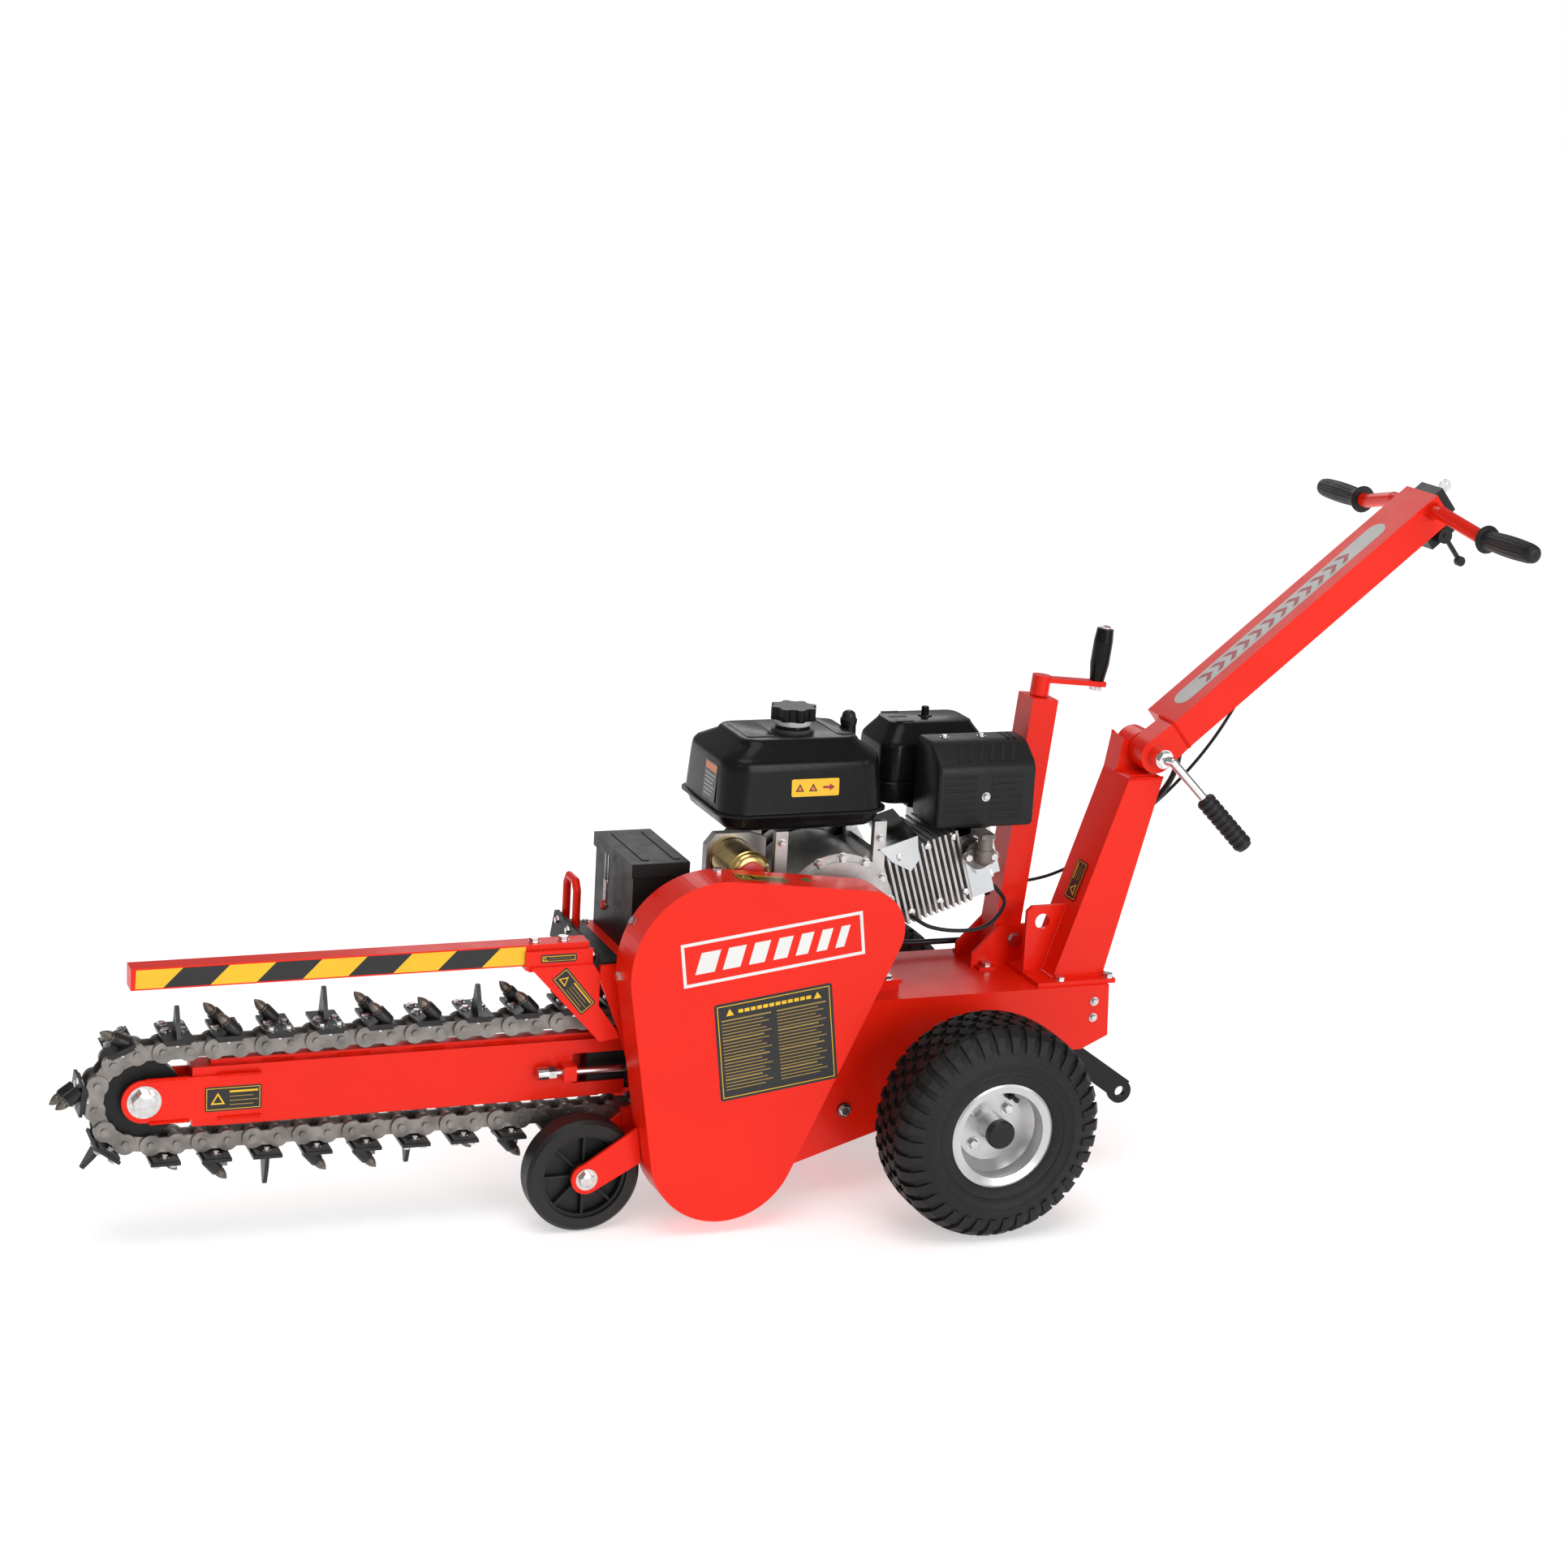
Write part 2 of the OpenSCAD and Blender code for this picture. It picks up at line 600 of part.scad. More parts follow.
module capsule(l, r, waist) {
    circle(r);
    translate([l, 0]) circle(r);
    translate([0, -waist / 2]) square([l, waist]);
}
module digging_chain() {
    color(steel) place() for (k = [0:links - 1]) {
        p = pin(k);
        q = pin(k + 1);
        d = [q[0] - p[0], q[1] - p[1]];
        translate([0, boom_y, 0]) at_xz(p, atan2(d[1], d[0])) {
            if (k % 2 == 0) {
                for (y = [[-18, -13.4], [13.4, 18]]) xz(y) capsule(norm(d), 17.5, 25);
                for (u = [0, norm(d)]) ycyl([u, 0], 12, [-13.4, 13.4]);
            } else {
                for (y = [[-23, -18.3], [18.3, 23]]) xz(y) capsule(norm(d), 17.5, 25);
                for (u = [0, norm(d)], y = [[-27, -23], [23, 27]]) ycyl([u, 0], 6, y);
            }
        }
    }
}
// Every outer link carries a plate with a pair of bullets, a blade or a single bullet, in turn.
module bullet() {
    cylinder(r = 11, h = 26);
    translate([0, 0, 26]) cylinder(r1 = 9, r2 = 7, h = 10);
    translate([0, 0, 36]) cylinder(r1 = 7, r2 = 1.5, h = 12);
}
module digging_teeth() {
    color(black) place() for (k = [1:2:links - 1]) {
        p = pin(k);
        q = pin(k + 1);
        d = [q[0] - p[0], q[1] - p[1]];
        kind = ((k - 1) / 2) % 3;
        side = floor((k - 1) / 6) % 2 == 0 ? 1 : -1;
        translate([0, boom_y, 0]) at_xz(p, atan2(d[1], d[0])) translate([norm(d) / 2, 0, 0]) {
            for (s = [-1, 1]) block([-20, 20], s > 0 ? [18.3, 44] : [-44, -18.3], [-22.5, -18]);
            block([-24, 24], [-46, 46], [-28, -22.5]);
            if (kind == 1) {
                translate([-4, side * 22, -28]) rotate([180, 0, 0]) rotate([90, 0, 90])
                    linear_extrude(7)
                        polygon([[-22, 0], [22, 0], [16, 24], [5, tooth_h - 28], [-2, tooth_h - 28]]);
            } else for (y = kind == 0 ? [-30, 26] : [side * 24])
                translate([y < 0 ? -14 : -2, y, -27]) rotate([0, 180 - 42, 0]) bullet();
        }
    }
}

// ---- front wheel ----
module front_fork() {
    color(red) place() {
        for (y = [[-172, -166], [-104, -98]]) difference() {
            union() {
                ycyl(front_axle, 26, y);
                far = y[0] > -120;
                xz(y) polygon(far ? [[-676, 122], [-545, 215], [-545, 150], [-658, 74]]
                    : [[-676, 122], [-582, 182], [-573.5, 120], [-658, 74]]);
            }
            ycyl(front_axle, 8, [y[0] - 2, y[1] + 2]);
        }
        block([-590, -545], [-118, -103.5], [165, 195]);
    }
    color(plated) place() {
        ycyl(front_axle, 8, [-176, -94]);
        translate([front_axle[0], -172, front_axle[1]]) rotate([90, 0, 0]) cylinder(r = 13, h = 8, $fn = 6);
        translate([front_axle[0], -98, front_axle[1]]) rotate([-90, 0, 0]) cylinder(r = 13, h = 4, $fn = 6);
    }
}
module front_wheel() {
    r = front_d / 2;
    w = front_w / 2;
    color(black) place() translate([front_axle[0], front_y, front_axle[1]]) rotate([90, 0, 0]) {
        rotate_extrude() {
            polygon([[r - 24, -w], [r - 6, -w], [r, -w + 7], [r, w - 7], [r - 6, w], [r - 24, w]]);
            polygon([[r - 30, -w + 6], [r - 24, -w + 6], [r - 24, w - 6], [r - 30, w - 6]]);
            polygon([[22, -4], [r - 30, -4], [r - 30, 4], [22, 4]]);
            polygon([[8 + run_gap, -w - 3], [22, -w - 3], [22, w + 3], [8 + run_gap, w + 3]]);
        }
        for (i = [0:7]) rotate(45 * i) translate([21, -2, -w + 8]) cube([r - 30 - 20.5, 4, front_w - 16]);
    }
}

// ---- rear axle, wheels and jack ----
cross_bar = [152, 232];
module axle_arm() {
    color(black) place() {
        difference() {
            for (y = [[-112, -102], [102, 112]]) xz(y) {
                polygon([[-198, 145], [-180, 185], [-20, 214], [cross_bar[0], 252], [262, 246], [372, 168],
                    [349, 134], [240, 212], [20, 166], [-180, 145]]);
                translate(swing) circle(22);
                translate([0, axle_z]) circle(28);
                translate([354, 150]) circle(22);
            }
            ycyl([354, 150], 10, [-120, 120]);
            ycyl(swing, 12, [-130, 130]);
            ycyl([0, axle_z], 12.5, [-130, 130]);
            ycyl(cross_bar, 12, [-130, 130]);
        }
    }
    color(steel) place() {
        ycyl(swing, 12, [-deck_y - 4, deck_y + 4]);
        ycyl([0, axle_z], 12.5, [-track / 2 - 52, track / 2 + 52]);
        ycyl(cross_bar, 12, [-102, 102]);
        for (s = [-1, 1]) ycyl([0, axle_z], 20, s > 0 ? [112, track / 2 - 60] : [60 - track / 2, -112]);
    }
}
module rim(y) {
    r = rim_d / 2;
    color("#c2c4c8") place() translate([0, y, axle_z]) rotate([90, 0, 0]) difference() {
        rotate_extrude() {
            polygon([[r - 16, -62], [r - 4, -66], [r, -64], [r - 11, -54], [r - 11, 54], [r, 64], [r - 4, 66],
                [r - 16, 62]]);
            polygon([[22, 14], [60, 14], [r - 13, 32], [r - 13, 22], [60, 6], [22, 6]]);
            polygon([[12.5 + run_gap, -46], [24, -46], [24, 50], [12.5 + run_gap, 50]]);
        }
        for (i = [0:3]) rotate(45 + 90 * i) translate([42, 0, -10]) cylinder(r = 5, h = 40);
    }
}
module tyre(y) {
    r = tyre_d / 2;
    ri = rim_d / 2 - 11;
    w = tyre_w / 2;
    color(black) place() translate([0, y, axle_z]) rotate([90, 0, 0]) rotate_extrude($fn = 96) difference() {
        polygon([[ri, -54], [rim_d / 2, -63.6], [104, -68], [130, -w], [152, -w + 1], [176, -w + 12],
            [r - 2, -46], [r, -24], [r, 24], [r - 2, 46], [176, w - 12], [152, w - 1], [130, w], [104, 68],
            [rim_d / 2, 63.6], [ri, 54]]);
        polygon([[ri - 1, -42], [106, -54], [150, -w + 12], [r - 18, -34], [r - 16, 0], [r - 18, 34],
            [150, w - 12], [106, 54], [ri - 1, 42]]);
    }
}
module left_tyre() tyre(-track / 2);
module right_tyre() tyre(track / 2);
module left_rim() rim(-track / 2);
module right_rim() translate([0, 2 * shift[1], 0]) mirror([0, 1, 0]) rim(-track / 2);
module jack_rod() {
    color(steel) place() at_xz(jack_base, 90 - jack_lean) {
        difference() {
            translate([-116, jack_y - 24, -19]) cube([380, 48, 38]);
            translate([20, jack_y - 20, -15]) cube([250, 40, 30]);
        }
        translate([-121, jack_y - 30, -26]) cube([5, 60, 52]);
    }
}
module crank_handle() {
    color(red) place() at_xz(jack_base, 90 - jack_lean) {
        translate([280, jack_y, 0]) rotate([0, 90, 0]) cylinder(r = 9, h = 210);
        translate([484, jack_y, 0]) rotate([0, 90, 0]) cylinder(r = 17, h = 36);
        translate([508, jack_y - 12, -124]) cube([9, 24, 116]);
    }
    color(plated) place() at_xz(jack_base, 90 - jack_lean) {
        translate([500, jack_y, -110]) rotate([0, 90, 0]) cylinder(r = 6, h = 112);
        translate([500, jack_y, -110]) rotate([0, 90, 0]) cylinder(r = 11, h = 8, $fn = 6);
        translate([612, jack_y, -110]) rotate([0, 90, 0]) cylinder(r = 9, h = 4);
    }
}
module crank_grip() {
    color(black) place() at_xz(jack_base, 90 - jack_lean) translate([518, jack_y, -110]) rotate([0, 90, 0])
        rotate_extrude() polygon([[6 + run_gap, 0], [13, 0], [17, 30], [17, 70], [15, 93.5], [6 + run_gap, 93.5]]);
}

// ---- handle ----
module on_beam() place() at_xz(knuckle, beam_tilt) children();

module rod(a, b, r) {
    v = b - a;
    translate(a) rotate([0, acos(v[2] / norm(v)), atan2(v[1], v[0])]) cylinder(r = r, h = norm(v));
}
grip_out = grip_span / 2;
bar_root = [668, 10];
bar_end = [664, -16];
module handle_beam() {
    y = [handle_y - 50, handle_y + 50];
    color(red) on_beam() {
        difference() {
            translate([58, y[0], -29]) cube([beam_l - 58, 100, 58]);
            translate([62, y[0] + 4, -25]) cube([beam_l - 66, 92, 50]);
            for (s = [-1, 1]) ycyl(bar_root, 12.7, s > 0 ? [y[1] - 5, y[1] + 1] : [y[0] - 1, y[0] + 5]);
            for (s = [71, 225]) translate([s, handle_y, -40]) cylinder(r = 10, h = 20);
        }
        difference() {
            xz([y[0], handle_y - 1]) union() {
                circle(32);
                polygon([[0, -32], [58, -29], [58, 29], [0, 32]]);
            }
            ycyl([0, 0], 11 + run_gap, [y[0] - 1, handle_y + 1]);
        }
        for (s = [-1, 1]) {
            a = [bar_root[0], handle_y + s * 46, bar_root[1]];
            b = [bar_root[0], handle_y + s * 80, bar_root[1]];
            c = [bar_end[0], handle_y + s * 190, bar_end[1]];
            d = [bar_end[0], handle_y + s * (grip_out - 6), bar_end[1]];
            rod(a, b, 12.7);
            translate(b) sphere(13);
            rod(b, c, 12.7);
            translate(c) sphere(13);
            rod(c, d, 12.7);
        }
    }
}
module handle_grips() {
    color(black) on_beam() for (s = [-1, 1]) translate([bar_end[0], handle_y + s * (grip_out - 148), bar_end[1]])
        rotate([-90 * s, 0, 0]) rotate_extrude() polygon([[12.75, 0], [25, 0], [25, 5], [19, 8], [17, 20], [19, 70],
            [17, 130], [12, 148], [0, 148], [0, 142.2], [12.75, 142.2]]);
}
box_s = [636, 690];
module control_box() {
    color(black) on_beam() {
        translate([beam_l, handle_y - 34, -26]) cube([22, 68, 50]);
        translate([box_s[0], handle_y - 34, -58]) cube([box_s[1] - box_s[0], 68, 28.9]);
        difference() {
            translate([beam_l + 22, handle_y + 14, -2]) rotate([0, 90, 0]) cylinder(r = 11, h = 8);
            translate([beam_l + 24, handle_y + 14, -2]) rotate([0, 90, 0]) cylinder(r = 6 + run_gap, h = 8);
        }
        ycyl([box_s[0] + 27, -44], 9, [handle_y - 44, handle_y - 34]);
        ycyl([box_s[0] + 27, -44], 4, [handle_y - 54, handle_y - 44]);
    }
}
module ignition_key() {
    color(plated) on_beam() translate([beam_l + 24.1, handle_y + 14, -2]) {
        rotate([0, 90, 0]) cylinder(r = 6, h = 8);
        translate([8, -1.2, -4]) cube([6, 2.4, 8]);
        translate([24, 1.2, 0]) rotate([90, 0, 0]) difference() {
            cylinder(r = 12, h = 2.4);
            translate([5, 0, -1]) cylinder(r = 3, h = 5);
        }
    }
}
module throttle_lever() {
    y = handle_y - 44;
    color(black) on_beam() {
        difference() {
            ycyl([box_s[0] + 27, -44], 14, [y - 8, y - 0.4]);
            ycyl([box_s[0] + 27, -44], 4 + run_gap, [y - 9, y + 1]);
        }
        translate([box_s[0] + 23, y - 6, -100]) cube([8, 4, 46]);
        ycyl([box_s[0] + 27, -104], 9, [y - 9, y + 1]);
    }
}
module clamp_lever() {
    y = handle_y - 50;
    pull = [knuckle[0], y - 36, knuckle[1]];
    elbow = pull + [6, -8, 0];
    tip = [442, y - 60, 706];
    color(plated) place() {
        ycyl(knuckle, 11, [y - 34, handle_y + 56]);
        ycyl(knuckle, 17, [y - 26, y - 0.5]);
        translate([knuckle[0], y - 26, knuckle[1]]) rotate([90, 0, 0]) cylinder(r = 15, h = 8, $fn = 6);
        translate([knuckle[0], handle_y + 50.3, knuckle[1]]) rotate([-90, 0, 0]) cylinder(r = 18, h = 12, $fn = 6);
        translate(pull) sphere(8);
        rod(pull, elbow, 8);
        translate(elbow) sphere(8);
        rod(elbow, tip, 8);
        translate(tip) sphere(8);
    }
    grip = unit(tip - elbow);
    color(black) place() rod(tip + 6 * grip, tip + 120 * grip, 14);
}

// ---- small fasteners ----
module fasteners() {
    color(plated) place() {
        for (x = [217, 312], s = [-1, 1]) translate([x, handle_y + 61 * s, deck_z + 8]) hex_bolt(4.5, 6);
        for (s = [-1, 1]) translate([124, jack_y + s * 33.5 + (s > 0 ? 15 : -13), deck_z + 5]) hex_bolt(4.5, 6);
        for (s = [-1, 1]) translate([182, jack_y + s * 36.5, 408]) rotate([-90 * s, 0, 0]) hex_bolt(6, 8);
        for (x = [-750, -700]) translate([x, (bar_y[0] + bar_y[1]) / 2, bar_z[1]]) hex_bolt(4.5, 6);
        for (x = [-300, -105], y = [-81, 76]) translate([x, y, deck_z + 23]) hex_bolt(4.5, 6);
        for (s = [-1, 1]) translate([counter[0] + 44 * s, -155, counter[1]]) rotate([90, 0, 0]) hex_bolt(4, 6);
        for (a = [88, 150, 185]) {
            lobe = guard_lobes[1];
            translate([lobe[0] + lobe[2] * cos(a), -160, lobe[1] + lobe[2] * sin(a)]) rotate([0, 90 - a, 0])
                hex_bolt(4, 5);
        }
    }
}

// ---- cables ----
throttle_route = [[572, -46, 889], [566, -44, 868], [560, -40, 846], [551, -34, 822], [541, -26, 796],
    [530, -17, 770], [517, -8, 744], [502, 1, 718], [485, 9, 693], [466, 17, 668], [447, 28, 643],
    [428, 40, 618], [406, 53, 592], [380, 66, 566], [352, 77, 540], [318, 86, 516], [280, 98, 497],
    [238, 107, 487], [194, 110, 486], [152, 109, 497], [112, 106, 523], [80, 103, 561], [60, 101, 591],
    [48, 100, 612]];
harness_route = [[452, -46, 791], [452, -44, 777], [453, -40, 762], [455, -34, 744], [456, -26, 724],
    [454, -16, 702], [448, -5, 680], [438, 6, 657], [425, 18, 633], [411, 30, 608], [398, 41, 582],
    [388, 50, 554], [378, 57, 524], [367, 62, 494], [354, 68, 464], [337, 75, 437], [313, 83, 414],
    [282, 92, 397], [244, 99, 388], [200, 104, 383], [156, 108, 381], [110, 111, 380], [60, 112, 380],
    [10, 112, 381], [-36, 108, 388], [-70, 103, 404], [-101, 100, 432]];
red_cable = [[-482.5, -60, 560], [-470, -70, 575], [-452, -80, 560], [-440, -70, 520], [-430, -60, 500],
    [-412, -58, 527]];
module throttle_cable() color(black) place() cable(throttle_route, 6, 60);
module wiring_harness() color(black) place() cable(harness_route, 11, 40);
module battery_cables() {
    color(red) place() cable(red_cable, 7, 18);
    color(black) place() cable([for (p = red_cable) p + [0, 20, -4]], 7, 18);
}

main_frame();
handle_post();
jack_bracket();
jack_column();
belt_guard();
guard_back_plate();
hazard_bar();
bar_bracket();
rubber_flap();
lift_loop();
battery_box();
battery();
crankcase();
finned_barrel();
cylinder_head();
blower_housing();
fuel_tank();
muffler();
exhaust_pipe();
air_cleaner();
carburettor();
starter_motor();
shaft_bearings();
boom_support();
front_fork();
drive_belt();
final_chain();
digging_chain();
digging_teeth();
fasteners();
throttle_cable();
wiring_harness();
battery_cables();
battery_lid();
lid_latch();
fuel_cap();
engine_shaft();
countershaft();
digger_shaft();
drive_sprocket();
driven_sprocket();
boom();
tension_bolt();
nose_roller();
front_wheel();
axle_arm();
jack_rod();
crank_handle();
crank_grip();
left_tyre();
left_rim();
right_tyre();
right_rim();
handle_beam();
handle_grips();
clamp_lever();
control_box();
ignition_key();
throttle_lever();
choke_lever();
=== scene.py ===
import bpy
import bmesh
import json
import math
from mathutils import Matrix, Vector


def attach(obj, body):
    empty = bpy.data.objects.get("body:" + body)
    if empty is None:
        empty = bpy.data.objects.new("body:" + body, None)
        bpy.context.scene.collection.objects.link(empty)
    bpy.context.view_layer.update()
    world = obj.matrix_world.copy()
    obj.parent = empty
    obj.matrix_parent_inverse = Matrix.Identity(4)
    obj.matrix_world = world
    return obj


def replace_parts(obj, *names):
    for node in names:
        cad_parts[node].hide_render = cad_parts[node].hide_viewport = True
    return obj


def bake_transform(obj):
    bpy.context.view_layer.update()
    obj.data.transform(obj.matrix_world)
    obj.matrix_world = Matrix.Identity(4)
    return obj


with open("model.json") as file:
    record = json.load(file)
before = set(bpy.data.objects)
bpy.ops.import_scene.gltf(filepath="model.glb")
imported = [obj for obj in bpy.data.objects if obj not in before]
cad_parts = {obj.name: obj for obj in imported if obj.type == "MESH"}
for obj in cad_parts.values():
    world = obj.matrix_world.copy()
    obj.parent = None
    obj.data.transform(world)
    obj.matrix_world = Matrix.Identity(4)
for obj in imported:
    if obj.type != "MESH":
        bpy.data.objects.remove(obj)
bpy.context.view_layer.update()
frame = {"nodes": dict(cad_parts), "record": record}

# ---- frame of reference: the CAD's own millimetres, from the middle of the axle on the ground ----
joint_at = {j["name"]: Vector(j["pos_m"]) for j in frame["record"]["behaviour"]["joints"] if "pos_m" in j}
origin = (joint_at["left_wheel_spin"] + joint_at["right_wheel_spin"]) / 2
origin.z = 0.0
MM = 0.001


def at(x, y, z):
    """A place given in millimetres from the ground point under the axle."""
    return origin + Vector((x, y, z)) * MM


# ---- camera, at the photograph's viewing angle ----
VIEW_YAW, VIEW_PITCH, VIEW_ROLL = 21.98, 14.53, 3.35  # degrees
CAMERA_PLACE = (-2196.5, -4733.6, 2042.0)
LENS, SENSOR = 70.8, 36


def add_camera():
    """A camera turned from +Y by the yaw, dipped by the pitch and rolled about its own line of sight."""
    yaw, pitch, roll = (math.radians(a) for a in (VIEW_YAW, VIEW_PITCH, VIEW_ROLL))
    ahead = Vector((math.sin(yaw) * math.cos(pitch), math.cos(yaw) * math.cos(pitch), -math.sin(pitch)))
    right = Vector((math.cos(yaw), -math.sin(yaw), 0))
    up = right.cross(ahead)
    turned = right * math.cos(roll) + up * math.sin(roll)
    up = turned.cross(ahead)
    data = bpy.data.cameras.new("camera")
    data.sensor_width = SENSOR
    data.lens = LENS
    camera = bpy.data.objects.new("camera", data)
    camera.matrix_world = Matrix((turned, up, -ahead)).transposed().to_4x4()
    camera.location = at(*CAMERA_PLACE)
    bpy.context.scene.collection.objects.link(camera)
    bpy.context.scene.camera = camera


add_camera()


# ---- materials ----
def new_material(name, rough, metal, coat=0.0, shine=0.5):
    """A material with its node tree and its shader, whose plain values are set on its own sockets."""
    m = bpy.data.materials.new(name)
    m.use_nodes = True
    shader = m.node_tree.nodes["Principled BSDF"]
    shader.inputs["Roughness"].default_value = rough
    shader.inputs["Metallic"].default_value = metal
    shader.inputs["Coat Weight"].default_value = coat
    shader.inputs["Specular IOR Level"].default_value = shine
    shader.inputs["Coat Roughness"].default_value = 0.06
    return m, m.node_tree, shader


def noise(tree, scale, detail=4.0, stretch=(1, 1, 1)):
    """Noise in the object's own space, drawn out along an axis by stretch."""
    place = tree.nodes.new("ShaderNodeTexCoord")
    squeeze = tree.nodes.new("ShaderNodeMapping")
    squeeze.inputs["Scale"].default_value = stretch
    tree.links.new(place.outputs["Object"], squeeze.inputs["Vector"])
    n = tree.nodes.new("ShaderNodeTexNoise")
    n.inputs["Scale"].default_value = scale
    n.inputs["Detail"].default_value = detail
    tree.links.new(squeeze.outputs["Vector"], n.inputs["Vector"])
    return n.outputs["Fac"]


def ramp(tree, value, stops):
    """The colour that a value picks from stops of (place, colour)."""
    r = tree.nodes.new("ShaderNodeValToRGB")
    for i, (where, colour) in enumerate(stops):
        e = r.color_ramp.elements[i] if i < 2 else r.color_ramp.elements.new(where)
        e.position = where
        e.color = (*colour, 1)
    tree.links.new(value, r.inputs["Fac"])
    return r.outputs["Color"]


def finish(name, colour, rough, metal=0.0, coat=0.0, vary=0.12, blotch=9.0, grain=700.0, bump=0.08,
           depth=0.0004, stretch=(1, 1, 1), gloss_vary=0.12, shine=0.5):
    """A surface with drifting colour, uneven gloss and a fine relief, all in the object's own space."""
    m, tree, shader = new_material(name, rough, metal, coat, shine)
    low = tuple(c * (1 - vary) for c in colour)
    high = tuple(min(1, c * (1 + vary)) for c in colour)
    patches = noise(tree, blotch, 6)
    tree.links.new(ramp(tree, patches, [(0.3, low), (0.7, high)]), shader.inputs["Base Color"])
    spread = tree.nodes.new("ShaderNodeMapRange")
    spread.inputs["To Min"].default_value = max(0.02, rough - gloss_vary)
    spread.inputs["To Max"].default_value = min(1.0, rough + gloss_vary)
    tree.links.new(noise(tree, blotch * 5, 3, stretch), spread.inputs["Value"])
    tree.links.new(spread.outputs["Result"], shader.inputs["Roughness"])
    relief = tree.nodes.new("ShaderNodeBump")
    relief.inputs["Strength"].default_value = bump
    relief.inputs["Distance"].default_value = depth
    tree.links.new(noise(tree, grain, 3, stretch), relief.inputs["Height"])
    tree.links.new(relief.outputs["Normal"], shader.inputs["Normal"])
    return m


mat = {
    "red": finish("red_paint", (0.84, 0.014, 0.002), 0.34, coat=0.1, shine=0.22, vary=0.04,
                  blotch=5, grain=260, bump=0.05),
    "weld": finish("painted_weld", (0.82, 0.014, 0.002), 0.3, coat=0.1, shine=0.25, grain=420,
                   bump=0.5),
    "steel": finish("chain_steel", (0.235, 0.220, 0.205), 0.36, 0.9, vary=0.3, blotch=40,
                    grain=900, bump=0.2),
    "shaft": finish("turned_steel", (0.50, 0.50, 0.50), 0.25, 1.0, grain=300, bump=0.1,
                    stretch=(8, 1, 8)),
    "tooth": finish("black_oxide", (0.018, 0.018, 0.019), 0.38, 0.35, vary=0.35, blotch=60,
                    grain=500, bump=0.25),
    "bullet": finish("forged_tip", (0.17, 0.15, 0.125), 0.42, 0.8, vary=0.4, blotch=90,
                     grain=600, bump=0.35),
    "black": finish("black_enamel", (0.006, 0.006, 0.006), 0.26, coat=0.05, shine=0.15,
                    grain=350, bump=0.05),
    "satin": finish("satin_black", (0.012, 0.012, 0.012), 0.42, shine=0.22, grain=800, bump=0.12),
    "cast": finish("cast_aluminium", (0.50, 0.49, 0.48), 0.42, 0.85, vary=0.15, blotch=30,
                   grain=650, bump=0.35),
    "iron": finish("cast_iron", (0.20, 0.18, 0.165), 0.6, 0.7, vary=0.3, blotch=50, grain=420,
                   bump=0.6),
    "head": finish("pressed_steel", (0.62, 0.63, 0.64), 0.16, 1.0, grain=120, bump=0.06),
    "zinc": finish("zinc_plate", (0.66, 0.66, 0.65), 0.22, 1.0, vary=0.15, blotch=120, grain=500,
                   bump=0.12),
    "chrome": finish("chrome_plate", (0.80, 0.80, 0.80), 0.07, 1.0, vary=0.03, grain=100,
                     bump=0.02, gloss_vary=0.03),
    "gold": finish("yellow_zinc", (0.60, 0.42, 0.16), 0.24, 1.0, vary=0.3, blotch=22, grain=300,
                   bump=0.08),
    "tyre": finish("tyre_rubber", (0.007, 0.007, 0.007), 0.55, shine=0.32, vary=0.3, blotch=25,
                   grain=520, bump=0.3),
    "rim": finish("rim_silver", (0.60, 0.60, 0.61), 0.30, 0.75, vary=0.06, grain=600, bump=0.1),
    "rubber": finish("soft_rubber", (0.012, 0.012, 0.012), 0.48, shine=0.32, vary=0.2, grain=700,
                     bump=0.25),
    "plastic": finish("moulded_plastic", (0.011, 0.011, 0.012), 0.33, shine=0.28, vary=0.15,
                      grain=950, bump=0.2),
    "ink": finish("label_black", (0.008, 0.008, 0.009), 0.30, vary=0.2, grain=300, bump=0.03),
    "yellow": finish("label_yellow", (0.85, 0.50, 0.006), 0.32, vary=0.06, grain=300, bump=0.03),
    "bronze": finish("label_bronze", (0.34, 0.22, 0.04), 0.32, vary=0.06, grain=300, bump=0.03),
    "orange": finish("label_orange", (0.80, 0.17, 0.02), 0.32, vary=0.06, grain=300, bump=0.03),
    "white": finish("label_white", (0.80, 0.80, 0.78), 0.30, vary=0.03, grain=300, bump=0.03),
    "grey": finish("label_grey", (0.50, 0.50, 0.48), 0.30, vary=0.04, grain=300, bump=0.03),
    "crimson": finish("label_crimson", (0.35, 0.008, 0.025), 0.30, vary=0.06, grain=300, bump=0.03),
    "green": finish("label_green", (0.02, 0.25, 0.06), 0.30, vary=0.06, grain=300, bump=0.03),
    "dark": finish("inside_shade", (0.006, 0.006, 0.006), 0.8, vary=0.2, grain=300, bump=0.1),
    "lead": finish("red_lead", (0.55, 0.02, 0.015), 0.35, vary=0.08, grain=600, bump=0.1),
}
